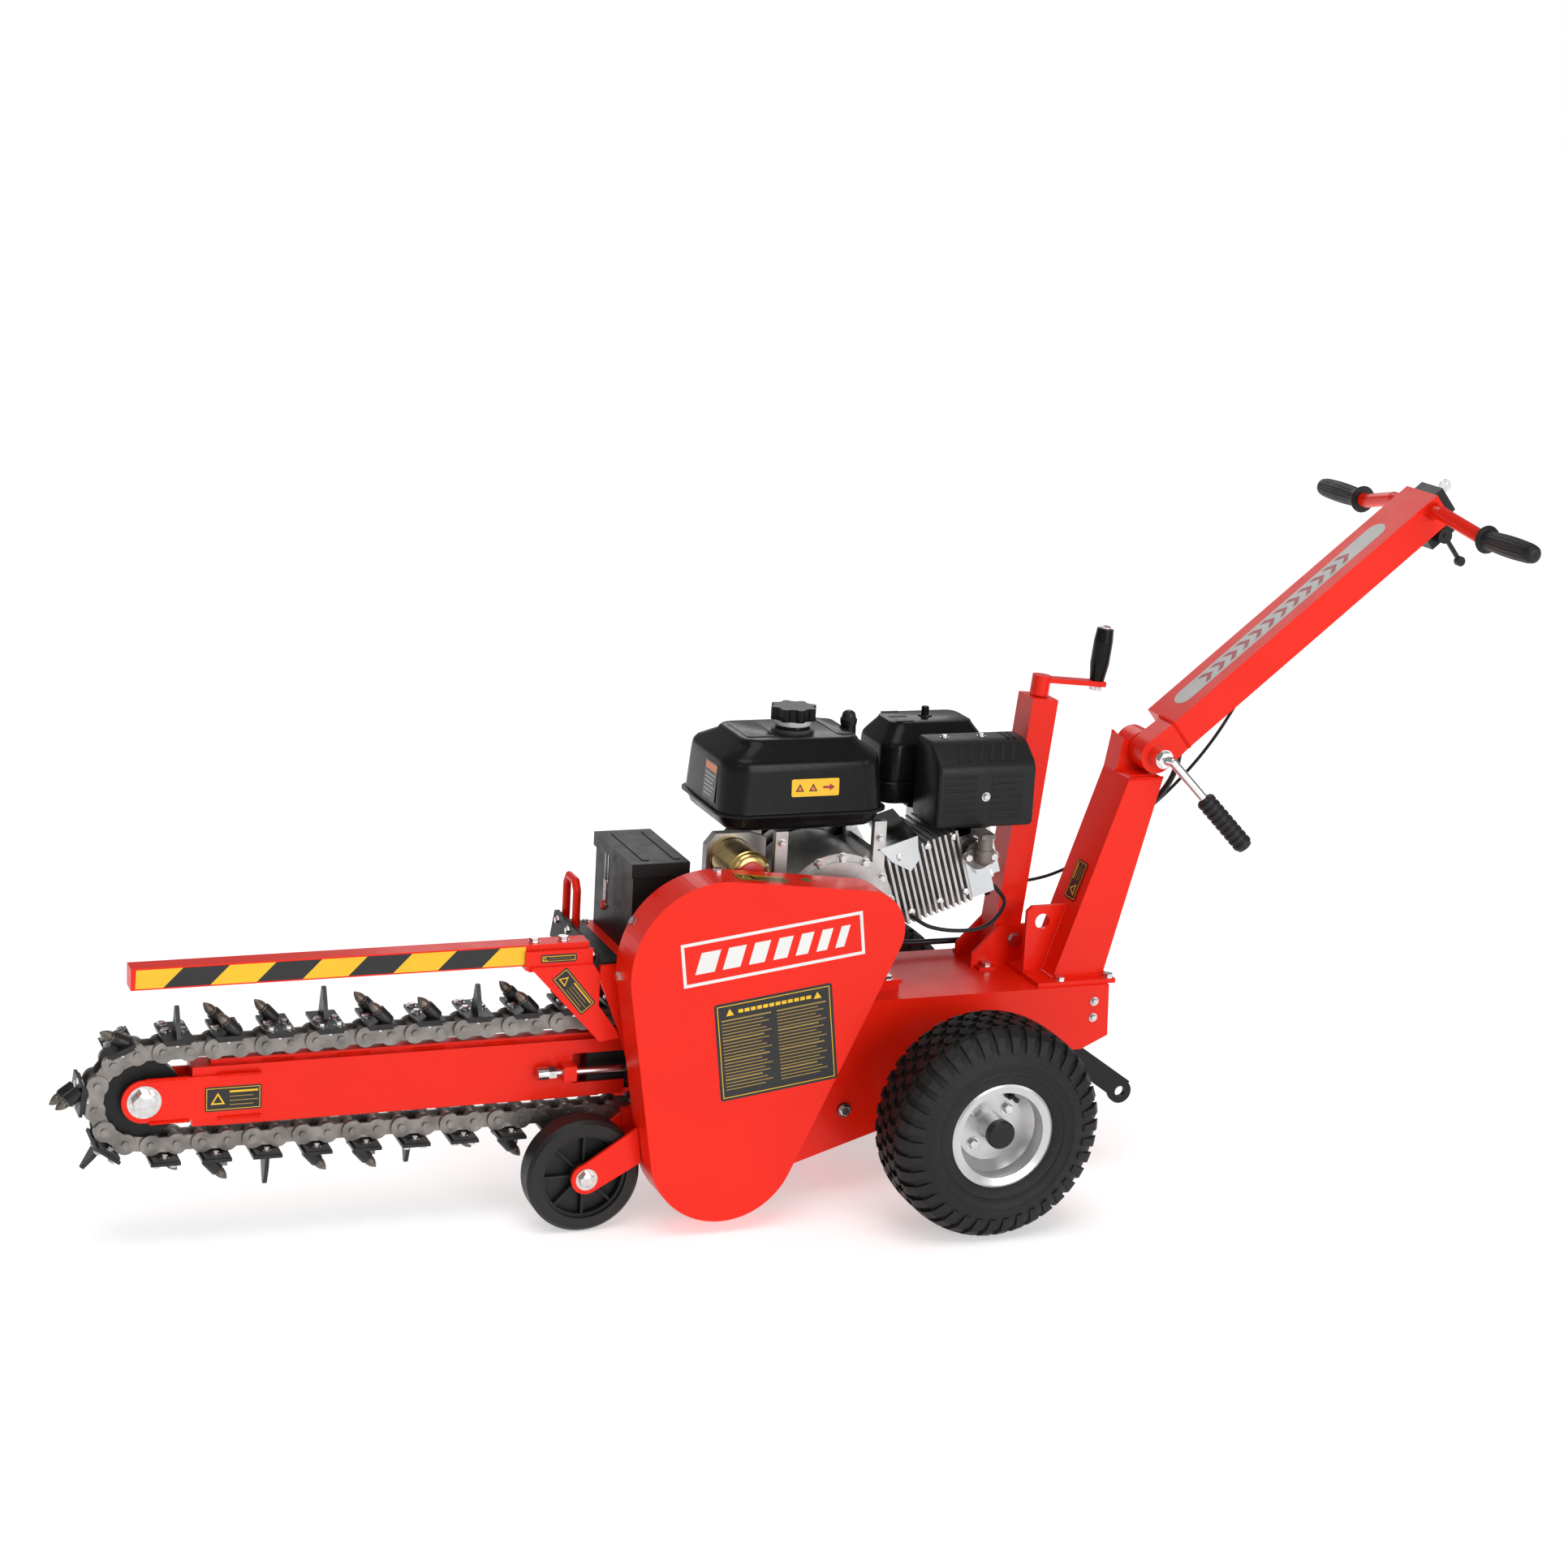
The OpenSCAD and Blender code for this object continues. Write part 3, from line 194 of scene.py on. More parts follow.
looks = {
    "red": ["main_frame", "handle_post", "jack_bracket", "jack_column", "belt_guard", "guard_back_plate",
            "hazard_bar", "bar_bracket", "lift_loop", "front_fork", "boom", "handle_beam", "crank_handle"],
    "steel": ["digging_chain", "drive_sprocket", "driven_sprocket", "final_chain", "countershaft"],
    "shaft": ["digger_shaft", "engine_shaft", "jack_rod"],
    "tooth": ["digging_teeth"],
    "black": ["fuel_tank", "muffler", "air_cleaner", "fuel_cap", "crank_grip"],
    "satin": ["boom_support", "axle_arm", "blower_housing", "nose_roller", "battery_box", "battery_lid"],
    "cast": ["crankcase", "finned_barrel", "carburettor"],
    "iron": ["exhaust_pipe", "shaft_bearings"],
    "head": ["cylinder_head"],
    "zinc": ["fasteners", "tension_bolt", "lid_latch", "ignition_key"],
    "chrome": ["clamp_lever"],
    "gold": ["starter_motor"],
    "rim": ["left_rim", "right_rim"],
    "rubber": ["rubber_flap", "drive_belt", "battery_cables", "front_wheel"],
    "plastic": ["battery", "control_box", "throttle_lever", "choke_lever"],
}
for look, names in looks.items():
    for name in names:
        part = frame["nodes"][name]
        part.data.materials.clear()
        part.data.materials.append(mat[look])


# ---- mesh helpers ----
def add_mesh(name, verts, faces, look, body, kinds=None, smooth=True):
    """A piece riding on a CAD body; kinds gives each face's place in a list of looks."""
    data = bpy.data.meshes.new(name)
    data.from_pydata([tuple(v) for v in verts], [], faces)
    used = look if isinstance(look, list) else [look]
    for one in used:
        data.materials.append(mat[one])
    if kinds:
        for poly, kind in zip(data.polygons, kinds):
            poly.material_index = kind
    skin = bmesh.new()
    skin.from_mesh(data)
    bmesh.ops.recalc_face_normals(skin, faces=skin.faces)
    skin.to_mesh(data)
    skin.free()
    obj = bpy.data.objects.new(name, data)
    bpy.context.scene.collection.objects.link(obj)
    if smooth:
        data.shade_smooth()
        data.set_sharp_from_angle(angle=math.radians(35))
    if body:
        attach(obj, body)
    return obj


def tube_faces(rings, sides):
    """The four-sided faces between rings of points laid one after another."""
    faces = []
    for k in range(rings - 1):
        low, high = k * sides, (k + 1) * sides
        faces += [[low + i, low + (i + 1) % sides, high + (i + 1) % sides, high + i] for i in range(sides)]
    return faces


class Pile:
    """Collects simple shapes, each already in place, into one mesh."""

    def __init__(self):
        self.verts = []
        self.faces = []
        self.kinds = []

    def add(self, verts, faces, kind=0):
        base = len(self.verts)
        self.verts += verts
        self.faces += [[base + i for i in f] for f in faces]
        self.kinds += [kind] * len(faces)

    def turned(self, profile, centre, axis, sides=24, kind=0, wave=None):
        """A profile of (along, radius) pairs turned about an axis; wave changes the radius."""
        axis = Vector(axis).normalized()
        u = axis.orthogonal().normalized()
        v = axis.cross(u)
        verts = []
        for along, radius in profile:
            for i in range(sides):
                a = 2 * math.pi * i / sides
                r = (radius + (wave(along, a) if wave else 0)) * MM
                verts.append(centre + axis * along * MM + (u * math.cos(a) + v * math.sin(a)) * r)
        n = len(profile)
        faces = tube_faces(n, sides)
        if profile[0][1] > 0:
            faces.append(list(range(sides))[::-1])
        faces.append([(n - 1) * sides + i for i in range(sides)])
        self.add(verts, faces, kind)

    def bolt(self, centre, axis, r=8.5, h=6, kind=0):
        """A hex head with a chamfered top on a washer."""
        self.turned([(0, r * 1.35), (1.2, r * 1.35), (1.2, r * 1.1)], centre, axis, 20, kind)
        self.turned([(1.2, r), (h, r), (h + 1, r * 0.86)], centre, axis, 6, kind)

    def slab(self, corners, normal, thick, kind=0):
        """A flat outline pushed out along its normal."""
        n = len(corners)
        push = Vector(normal).normalized() * thick * MM
        ends = [list(range(n))[::-1], list(range(n, 2 * n))]
        self.add(list(corners) + [c + push for c in corners], ends + tube_faces(2, n), kind)

    def bead(self, a, b, r=4.0, kind=0):
        """A weld bead: overlapping low domes from a to b."""
        count = max(2, int((b - a).length / (r * 0.85 * MM)))
        for i in range(count + 1):
            c = a.lerp(b, i / count)
            wobble = 0.5 * math.sin(i * 2.4)
            dome = [(-r * 0.55, r * 0.55), (0, r + wobble * 0.5), (r * 0.55, r * 0.6)]
            self.turned(dome, c, b - a, 10, kind)

    def make(self, name, look, body, smooth=True):
        return add_mesh(name, self.verts, self.faces, look, body, self.kinds, smooth)


def spline(points, count):
    """Evenly spaced places on a smooth curve through the points."""
    out = []
    for i in range(count):
        t = i * (len(points) - 1) / (count - 1)
        k = min(int(t), len(points) - 2)
        f = t - k
        a, b, c, d = (points[min(max(k + j, 0), len(points) - 1)] for j in (-1, 0, 1, 2))
        bend = 2 * a - 5 * b + 4 * c - d
        twist = 3 * b - a - 3 * c + d
        out.append(0.5 * (2 * b + (c - a) * f + bend * f * f + twist * f ** 3))
    return out


def cable(name, route, diameter, look, body, rings=90, sides=12):
    """A round tube along a route given in millimetres."""
    points = spline([at(*p) for p in route], rings)
    verts = []
    for i, p in enumerate(points):
        t = (points[min(i + 1, rings - 1)] - points[max(i - 1, 0)]).normalized()
        u = t.cross(Vector((1, 0, 0) if abs(t.y) > 0.9 else (0, 1, 0))).normalized()
        v = t.cross(u)
        for k in range(sides):
            a = 2 * math.pi * k / sides
            verts.append(p + (u * math.cos(a) + v * math.sin(a)) * diameter / 2 * MM)
    faces = tube_faces(rings, sides)
    faces += [list(range(sides))[::-1], [(rings - 1) * sides + k for k in range(sides)]]
    return add_mesh(name, verts, faces, look, body)


# ---- studio ----
def studio():
    """A white world, a pale floor and soft lights from above, in front and behind."""
    scene = bpy.context.scene
    world = bpy.data.worlds.new("studio")
    world.use_nodes = True
    tree = world.node_tree
    glow = tree.nodes["Background"]
    glow.inputs["Color"].default_value = (1, 1, 1, 1)
    glow.inputs["Strength"].default_value = 0.30
    backdrop = tree.nodes.new("ShaderNodeBackground")
    backdrop.inputs["Color"].default_value = (1, 1, 1, 1)
    backdrop.inputs["Strength"].default_value = 1.0
    seen = tree.nodes.new("ShaderNodeLightPath")
    pick = tree.nodes.new("ShaderNodeMixShader")
    tree.links.new(seen.outputs["Is Camera Ray"], pick.inputs["Fac"])
    tree.links.new(glow.outputs["Background"], pick.inputs[1])
    tree.links.new(backdrop.outputs["Background"], pick.inputs[2])
    tree.links.new(pick.outputs["Shader"], tree.nodes["World Output"].inputs["Surface"])
    scene.world = world
    scene.view_settings.view_transform = "Standard"
    floor = bpy.data.meshes.new("floor")
    reach = 40
    floor.from_pydata([(-reach, -reach, 0), (reach, -reach, 0), (reach, reach, 0), (-reach, reach, 0)], [],
                      [(0, 1, 2, 3)])
    floor_obj = bpy.data.objects.new("floor", floor)
    pale, tree, shader = new_material("floor_pale", 0.9, 0)
    shader.inputs["Specular IOR Level"].default_value = 0.0
    tree.links.new(ramp(tree, noise(tree, 2), [(0.3, (0.89, 0.89, 0.89)), (0.7, (0.91, 0.91, 0.91))]),
                   shader.inputs["Base Color"])
    shader.inputs["Emission Color"].default_value = (1, 1, 1, 1)
    shader.inputs["Emission Strength"].default_value = 0.45
    floor.materials.append(pale)
    floor_obj.location.z = -0.001
    scene.collection.objects.link(floor_obj)

    def lamp(name, kind, place, energy, size):
        """A light aimed at the machine; size is degrees for a sun and metres for an area light."""
        light = bpy.data.lights.new(name, kind)
        light.energy = energy
        if kind == "SUN":
            light.angle = math.radians(size)
        else:
            light.size = size
        obj = bpy.data.objects.new(name, light)
        obj.location = place
        obj.rotation_euler = (Vector((0, 0, 0.5)) - Vector(place)).to_track_quat("-Z", "Y").to_euler()
        scene.collection.objects.link(obj)

    lamp("overhead", "SUN", (-0.4, -1.0, 4.0), 0.95, 40)
    lamp("front", "SUN", (0.9, -4.0, 1.5), 1.1, 30)
    lamp("key", "AREA", (-2.6, -3.0, 2.6), 8, 1.4)
    lamp("fill", "AREA", (3.2, -3.0, 1.8), 12, 1.4)
    lamp("back", "AREA", (1.2, 3.6, 2.8), 24, 2.0)


studio()

# ---- tyres with turf lugs ----
TYRE_R = 190.5
HALF_TRACK = 300
LUG_GAP = 0.4  # how far the lugs' tops stay under the tread's outline
TYRE_EDGE = [(0, 190.2), (24, 190.0), (46, 188), (64, 175), (74, 152), (75.5, 130)]


def tread_radius(y):
    """The tread's radius at a distance to either side of the tyre's middle."""
    for (y0, r0), (y1, r1) in zip(TYRE_EDGE, TYRE_EDGE[1:]):
        if abs(y) <= y1:
            return r0 + (r1 - r0) * (abs(y) - y0) / (y1 - y0)
    return TYRE_EDGE[-1][1]


def tyre(side, node, body):
    """A turned carcass with rows of slanted lugs, which stands for the CAD tyre."""
    centre = at(0, side * HALF_TRACK, TYRE_R)
    pile = Pile()
    half = [(53, 82), (56, 84), (64, 93), (69.5, 104), (70.5, 110), (72.5, 112), (72.5, 115), (71.5, 117),
            (73.5, 128), (75, 130), (75, 133), (73.5, 136), (71, 150), (62, 169), (45, 181), (24, 183.5)]
    loop = [(-y, r) for y, r in half] + [(y, r) for y, r in reversed(half)]
    sides = 96
    turn = 2 * math.pi / sides
    verts = [centre + Vector((r * math.cos(turn * i), y, r * math.sin(turn * i))) * MM
             for y, r in loop for i in range(sides)]
    n = len(loop)
    pile.add(verts, [[k * sides + i, (k + 1) % n * sides + i, (k + 1) % n * sides + (i + 1) % sides,
                      k * sides + (i + 1) % sides] for k in range(n) for i in range(sides)])

    def lug(angle, y0, y1, reach, skew, deep=8.0):
        """A block reaching to each side of an angle, in degrees, and slanted by skew from y0 to y1."""
        low, high = [], []
        near, far = (angle - reach, angle + reach), (angle + reach + skew, angle - reach + skew)
        for a, y in ((near[0], y0), (near[1], y0), (far[0], y1), (far[1], y1)):
            a = math.radians(a)
            for group, r in ((low, tread_radius(y) - deep), (high, tread_radius(y) - LUG_GAP)):
                group.append(centre + Vector((r * math.cos(a), y, r * math.sin(a))) * MM)
        pile.add(low + high, [[3, 2, 1, 0], [4, 5, 6, 7]] + tube_faces(2, 4))

    pitches = 38
    for i in range(pitches):
        a = 360 * i / pitches
        lug(a, -8, 0, 2.7, 1.6)
        lug(a + 1.6, 0, 8, 2.7, -1.6)
        for s in (-1, 1):
            lug(a + 4.7, s * 12, s * 23, 2.6, 1.8)
            lug(a + 6.5, s * 23, s * 34, 2.6, -1.8)
            lug(a + s, s * 38, s * 49, 2.9, 1.5)
            lug(a + s + 1.5, s * 49, s * 63, 2.9, 0.6)
            lug(a + s + 2.1, s * 63, s * 73, 2.4, 0.3, 6)
    obj = pile.make(f"{body}_tyre", "tyre", body)
    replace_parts(obj, node)


def wheel_fittings(side, body):
    """Four wheel nuts, the valve and the hub cap."""
    centre = at(0, side * HALF_TRACK, TYRE_R)
    out = Vector((0, side, 0))
    nut_circle, nut_seat = 42, 14
    pile = Pile()
    for i in range(4):
        a = math.radians(45 + 90 * i)
        nut = centre + (Vector((math.cos(a), 0, math.sin(a))) * nut_circle + out * nut_seat) * MM
        pile.bolt(nut, out, 9, 8)
    pile.turned([(0, 8), (7, 7.5), (7, 4), (22, 3.5), (24, 4.5), (32, 4.5), (33, 3.5)],
                centre + Vector((0.030, 0, 0.055)) + out * 16 * MM, out, 14, 1)
    pile.turned([(0, 25), (10, 25), (13, 22.5), (14, 15), (14.5, 5)], centre + out * 49 * MM, out, 32, 1)
    pile.make(f"{body}_fittings", ["zinc", "plastic"], body)


for side, word in ((-1, "left"), (1, "right")):
    tyre(side, f"{word}_tyre", f"{word}_wheel")
    wheel_fittings(side, f"{word}_wheel")


# ---- stickers with plain marks: each change of look lies one layer higher ----
STICKER_THICK, MARK_THICK, LAYER_STEP = 0.25, 0.2, 0.22


def sticker(name, body, centre, across, up, size, base, marks=(), corner=4.0, lift=0.0):
    """A thin rounded label; each mark is (look, outline) with its points in mm from the middle."""
    across = Vector(across).normalized()
    up = Vector(up).normalized()
    normal = across.cross(up)
    pile = Pile()

    def spot(x, y, high):
        """A point of the label, raised off its face."""
        return centre + (across * x + up * y + normal * (lift + high)) * MM

    w, h = size[0] / 2 - corner, size[1] / 2 - corner
    outline = [(sx * w + corner * math.cos(math.radians(a)), sy * h + corner * math.sin(math.radians(a)))
               for sx, sy, start in ((1, 1, 0), (-1, 1, 90), (-1, -1, 180), (1, -1, 270))
               for a in range(start, start + 91, 15)]
    pile.slab([spot(x, y, 0.0) for x, y in outline], normal, STICKER_THICK)
    looks_used = [base]
    layer = 0.0
    last = None
    for look, points in marks:
        if look not in looks_used:
            looks_used.append(look)
        if look != last:
            layer += LAYER_STEP
        last = look
        pile.slab([spot(x, y, layer) for x, y in points], normal, MARK_THICK, looks_used.index(look))
    return pile.make(name, looks_used, body, smooth=False)


def bar(x0, y0, x1, y1):
    """A rectangle's corners."""
    return [(x0, y0), (x1, y0), (x1, y1), (x0, y1)]


def border(w, h, t):
    """Four bars of thickness t round a rectangle."""
    w, h = w / 2, h / 2
    return [bar(-w, -h, w, -h + t), bar(-w, h - t, w, h),
            bar(-w, -h + t, -w + t, h - t), bar(w - t, -h + t, w, h - t)]


def triangle(x, y, r):
    """An upright triangle with its corners at radius r."""
    return [(x - r * 0.87, y - r / 2), (x + r * 0.87, y - r / 2), (x, y + r)]


def slanted(x0, x1, y0, y1, lean):
    """A bar whose top is shifted sideways by lean."""
    return [(x0, y0), (x1, y0), (x1 + lean, y1), (x0 + lean, y1)]


def caution(name, body, centre, across, up, w, h, lift=0.0):
    """A black caution label: a yellow rim, a triangle and rows of plain dashes."""
    marks = [("yellow", b) for b in border(w - 5, h - 5, 1.0)]
    left = -w / 2 + h * 0.5
    marks += [("yellow", triangle(left, -h * 0.06, h * 0.32)), ("ink", triangle(left, -h * 0.06, h * 0.2))]
    rows = 4
    for i in range(rows):
        y = h * 0.26 - i * h * 0.17
        end = w / 2 - 6 - (i % 2) * w * 0.08
        top = y + h * (0.015 if i else 0.06)
        marks.append(("bronze" if i else "yellow", bar(left + h * 0.45, y - h * 0.02, end, top)))
    sticker(name, body, centre, across, up, (w, h), "ink", marks, 3.0, lift)


X, Y, Z = Vector((1, 0, 0)), Vector((0, 1, 0)), Vector((0, 0, 1))


def tilted(degrees):
    """The +X direction raised by an angle, and the direction square to it in the XZ plane."""
    a = math.radians(degrees)
    return Vector((math.cos(a), 0, math.sin(a))), Vector((-math.sin(a), 0, math.cos(a)))


GUARD_FACE = -222.05
GUARD_SLANT = 7.3
GUARD_TOP_SLANT = -6.8


def guard_stripes():
    """A white plate with a red field and seven slanted white blocks."""
    across, up = tilted(GUARD_SLANT)
    marks = [("red", bar(-155.5, -32.5, 155.5, 32.5))]
    starts = (-140, -92, -46, -3, 37, 74, 108)
    marks += [("white", slanted(x, x + 34 - i * 3, -18, 18, 14)) for i, x in enumerate(starts)]
    sticker("guard_stripes", "chassis", at(-376, GUARD_FACE, 498), across, up, (322, 76), "white", marks,
            0.5)


def guard_notice():
    """A black notice: a yellow rim, two triangles, a row of dashes and two columns of plain rows."""
    across, up = tilted(GUARD_SLANT)
    marks = [("yellow", b) for b in border(200, 163, 1.2)]
    marks += [("yellow", triangle(-78, 67, 8)), ("yellow", triangle(78, 67, 8))]
    marks += [("yellow", bar(x, 65, x + 8.5, 71)) for x in range(-63, 60, 11)]
    first_row, row_step = 54, 5.8
    for column in (-94, 4):
        for i in range(22):
            length = 88 - (i * 37 % 23)
            thick = 1.6 if i % 6 else 2.6
            row = first_row - i * row_step
            marks.append(("bronze", bar(column, row, column + length, row + thick)))
    sticker("guard_notice", "chassis", at(-362, GUARD_FACE, 335), across, up, (210, 172), "ink", marks, 5)


def guard_top_labels():
    """A caution label and a round green dot on the guard's rim."""
    along, _ = tilted(GUARD_TOP_SLANT)
    caution("guard_top_label", "chassis", at(-392, -188, 611.6), along, Y, 92, 34)
    sticker("guard_dot", "chassis", at(-308, -178, 601.6), along, Y, (17, 17), "green", (), 8.4)


guard_stripes()
guard_notice()
guard_top_labels()
nose = joint_at["nose_roller_spin"]
BRACKET_SLOPE = -51
POST_SLOPE = 71.7


def caution_labels():
    """The small labels on the boom, the bar's bracket and the handle post."""
    caution("boom_label", "boom", nose + Vector((143, -30.1, -4)) * MM, X, Z, 92, 42)
    slope, square = tilted(BRACKET_SLOPE)
    caution("bracket_label", "chassis", at(-688, -124.1, 414), slope, square, 84, 32)
    caution("bracket_note", "chassis", at(-714, -118.1, 471), X, Z, 62, 14)
    caution("post_label", "chassis", at(262, -52, 534), tilted(POST_SLOPE)[0], Y, 72, 38, 0.6)


def hazard_stripes():
    """Slanted yellow bands on black, cut off square at the ends of the bar."""
    w, h = 636, 31
    marks = []
    step = 74
    start = -w / 2 - 30
    while start < w / 2:
        band = slanted(start, start + step, -h / 2, h / 2, h)
        points = [(min(max(x, -w / 2), w / 2), y) for x, y in band]
        marks.append(("yellow", points))
        start += 2 * step
    sticker("hazard_stripes", "chassis", at(-1405 + w / 2, -110.05, 476), X, Z, (w, h), "ink", marks, 1)


caution_labels()
hazard_stripes()
BEAM_TILT = 39.3
knuckle = joint_at["handle_tilt"]
beam_x, beam_z = tilted(BEAM_TILT)


def on_beam(s, y, t):
    """A place on the handle's beam: along it from the tilt joint, across the machine and off its top."""
    return knuckle + (beam_x * s + Y * y + beam_z * t) * MM


def beam_label():
    """A long grey label with round ends and a row of chevrons."""
    chevrons = [("crimson", [(x, -15), (x + 12, -15), (x + 27, 0), (x + 12, 15), (x, 15), (x + 15, 0)])
                for x in range(-190, 150, 30)]
    sticker("beam_label", "handle", on_beam(345, 0, 29.05), beam_x, Y, (500, 44), "grey", chevrons, 21.5)


def tank_labels():
    """A yellow label with two triangles and an arrow, and a dark one with plain rows."""
    wall_up = Vector((0, 0.065, 0.998))
    sticker("tank_label", "chassis", at(-268, -97.2, 738), X, wall_up, (86, 30), "yellow",
            [("ink", triangle(-28, -2, 9)), ("ink", triangle(-4, -2, 9)), ("orange", triangle(-28, -2, 5)),
             ("orange", triangle(-4, -2, 5)), ("crimson", bar(14, -2, 26, 2)),
             ("crimson", [(26, -6), (35, 0), (26, 6)])], 3, 0.6)
    front_up = Vector((0.065, 0, 0.998))
    grey_rows = [("grey", bar(-24, 10 - 7 * i, 24 - 5 * (i % 3), 12 - 7 * i)) for i in range(6)]
    sticker("tank_front_label", "chassis", at(-427.2, -18, 736), -Y, front_up, (58, 66), "ink",
            [("orange", bar(-26, 18, 26, 30))] + grey_rows, 3, 0.6)


beam_label()
tank_labels()


# ---- welds ----
def chassis_welds():
    """Beads at the handle post's foot, lug and head, on the frame's sides and at the bar's bracket."""
    pile = Pile()
    foot = 368.5
    for y in (-96.5, 4.5):
        pile.bead(at(208, y, foot), at(306, y, foot), 4)
    for x in (208, 306):
        pile.bead(at(x, -96, foot), at(x, 4, foot), 4)
    for y in (-51, -41):
        pile.bead(at(209, y, foot + 4), at(247, y, 486), 3.4)
        pile.bead(at(176, y, foot), at(205, y, foot), 3.4)
    pile.bead(at(329, -96, 728), at(392, -96, 728), 3.2)
    pile.bead(at(327, -40, 730), at(392, -40, 730), 3.6)
    pile.bead(at(340, 6, 790), at(394, 6, 742), 3.2)
    for y in (-124.5, 124.5):
        pile.bead(at(-300, y, 360), at(-260, y, 360), 3)
    pile.bead(at(-764, -117.5, 452), at(-660, -117.5, 452), 3)
    pile.make("chassis_welds", "weld", "chassis")


def boom_welds():
    """Short beads along the nose plate's edges and both edges of the boom."""
    boom = Pile()
    boom_z, plate_half = 258, 36.5
    plate_y = at(0, -77, 0).y
    for z, spans in ((boom_z + plate_half, ((4, 70), (120, 186))),
                     (boom_z - plate_half, ((10, 70), (120, 186)))):
        for a, b in spans:
            boom.bead(Vector((nose.x, 0, 0)) + Vector((a * MM, plate_y, z * MM)),
                      Vector((nose.x, 0, 0)) + Vector((b * MM, plate_y, z * MM)), 3.6)
    for k in range(5):
        x = -1190 + 125 * k
        boom.bead(at(x, -58.5, 308.5), at(x + 50, -58.5, 308.5), 3.2)
        boom.bead(at(x, -58.5, 207.5), at(x + 50, -58.5, 207.5), 3.2)
    boom.make("boom_welds", "weld", "boom")


def handle_welds():
    """Beads where the cross bar passes through the beam and where the beam meets its knuckle."""
    handle = Pile()
    for y in (-50.5, 50.5):
        turns = [i * math.pi / 6 for i in range(13)]
        round_bar = [on_beam(668 + 14.5 * math.cos(a), y, 10 + 14.5 * math.sin(a)) for a in turns]
        for a, b in zip(round_bar, round_bar[1:]):
            handle.bead(a, b, 3)
    handle.bead(on_beam(57, -50, -28), on_beam(57, -50, 28), 3.4)
    handle.bead(on_beam(57, -46, 30), on_beam(57, 0, 30), 3.4)
    handle.make("handle_welds", "weld", "handle")


chassis_welds()
boom_welds()
handle_welds()


# ---- digging chain: the same path as the CAD's, for what is bolted to the links ----
PITCH, LINKS = 41.275, 58
digger = joint_at["digger_spin"]
drive_r = 13 * PITCH / (2 * math.pi)
nose_r = 78.0
centres = (digger.x - nose.x) / MM
chain_slope = math.asin((drive_r - nose_r) / centres)
straight = centres * math.cos(chain_slope)
nose_arc = nose_r * (math.pi - 2 * chain_slope)


def pin(k):
    """The place of pin k: along the top run, round the nose, back along the bottom, round the sprocket."""
    s = (k % LINKS) * PITCH
    a = chain_slope
    if s < straight:
        x, z = -drive_r * math.sin(a) - s * math.cos(a), drive_r * math.cos(a) - s * math.sin(a)
    elif s < straight + nose_arc:
        f = math.pi / 2 + a + (s - straight) / nose_r
        x, z = -centres + nose_r * math.cos(f), nose_r * math.sin(f)
    elif s < 2 * straight + nose_arc:
        b = s - straight - nose_arc
        x, z = -centres - nose_r * math.sin(a) + b * math.cos(a), -nose_r * math.cos(a) - b * math.sin(a)
    else:
        f = 3 * math.pi / 2 - a + (s - 2 * straight - nose_arc) / drive_r
        x, z = drive_r * math.cos(f), drive_r * math.sin(f)
    return Vector((digger.x, nose.y, digger.z)) + Vector((x, 0, z)) * MM


BULLET_LEAN = math.radians(42)


def tooth_fittings():
    """Bolts and nuts on every tooth plate, and the pointed tips with their sockets and lock screws."""
    bolts, tips = Pile(), Pile()
    for k in range(1, LINKS, 2):
        p, q = pin(k), pin(k + 1)
        along = (q - p).normalized()
        out = Y.cross(along).normalized()
        mid = (p + q) / 2
        kind = (k - 1) // 2 % 3
        side = 1 if (k - 1) // 6 % 2 == 0 else -1
        spots = ([(-17, -2), (17, -2)] if kind == 0 else
                 [(-14, -side * 34), (14, -side * 34), (-14, 0), (14, 0)])
        for x, y in spots:
            bolts.bolt(mid + (along * x + Y * y + out * 27.8) * MM, out, 6.6, 5)
        for y in (-34, 34):
            bolts.turned([(0, 8), (5, 8), (5, 5), (9, 5)], mid + (Y * y + out * 22.5) * MM, -out, 6)
        if kind == 1:
            continue
        for y in ((-30, 26) if kind == 0 else (side * 24,)):
            base = mid + (along * (-14 if y < 0 else -2) + Y * y + out * 27) * MM
            lead = (out * math.cos(BULLET_LEAN) + along * math.sin(BULLET_LEAN)).normalized()
            tips.turned([(2, 11.4), (24, 11.4), (26, 10.2), (26.2, 9.6)], base, lead, 20, 1)
            tips.turned([(22, 9.6), (28, 9.6), (29, 8.2), (31, 8.2), (32, 8.8), (38, 7.4), (44, 4.4),
                         (47.5, 1.6)], base, lead, 20, 0)
            tips.turned([(0, 4), (7, 4)], base + lead * 13 * MM + Y * 10 * MM, Y, 6, 2)
    bolts.make("tooth_bolts", "zinc", "chassis")
    tips.make("tooth_tips", ["bullet", "tooth", "zinc"], "chassis")


tooth_fittings()


# ---- engine fittings ----
crank = joint_at["engine_shaft_spin"]
BARREL_TILT = 17


def round_crank(degrees, radius, y):
    """A place at a radius from the crankshaft, y millimetres across the machine."""
    a = math.radians(degrees)
    return Vector((crank.x, at(0, y, 0).y, crank.z)) + Vector((math.cos(a), 0, math.sin(a))) * radius * MM


def on_barrel(u, y, w):
    """A place on the barrel: along it from the crankshaft, across the machine and square to it."""
    ahead, square = tilted(BARREL_TILT)
    return Vector((crank.x, at(0, y, 0).y, crank.z)) + (ahead * u + square * w) * MM


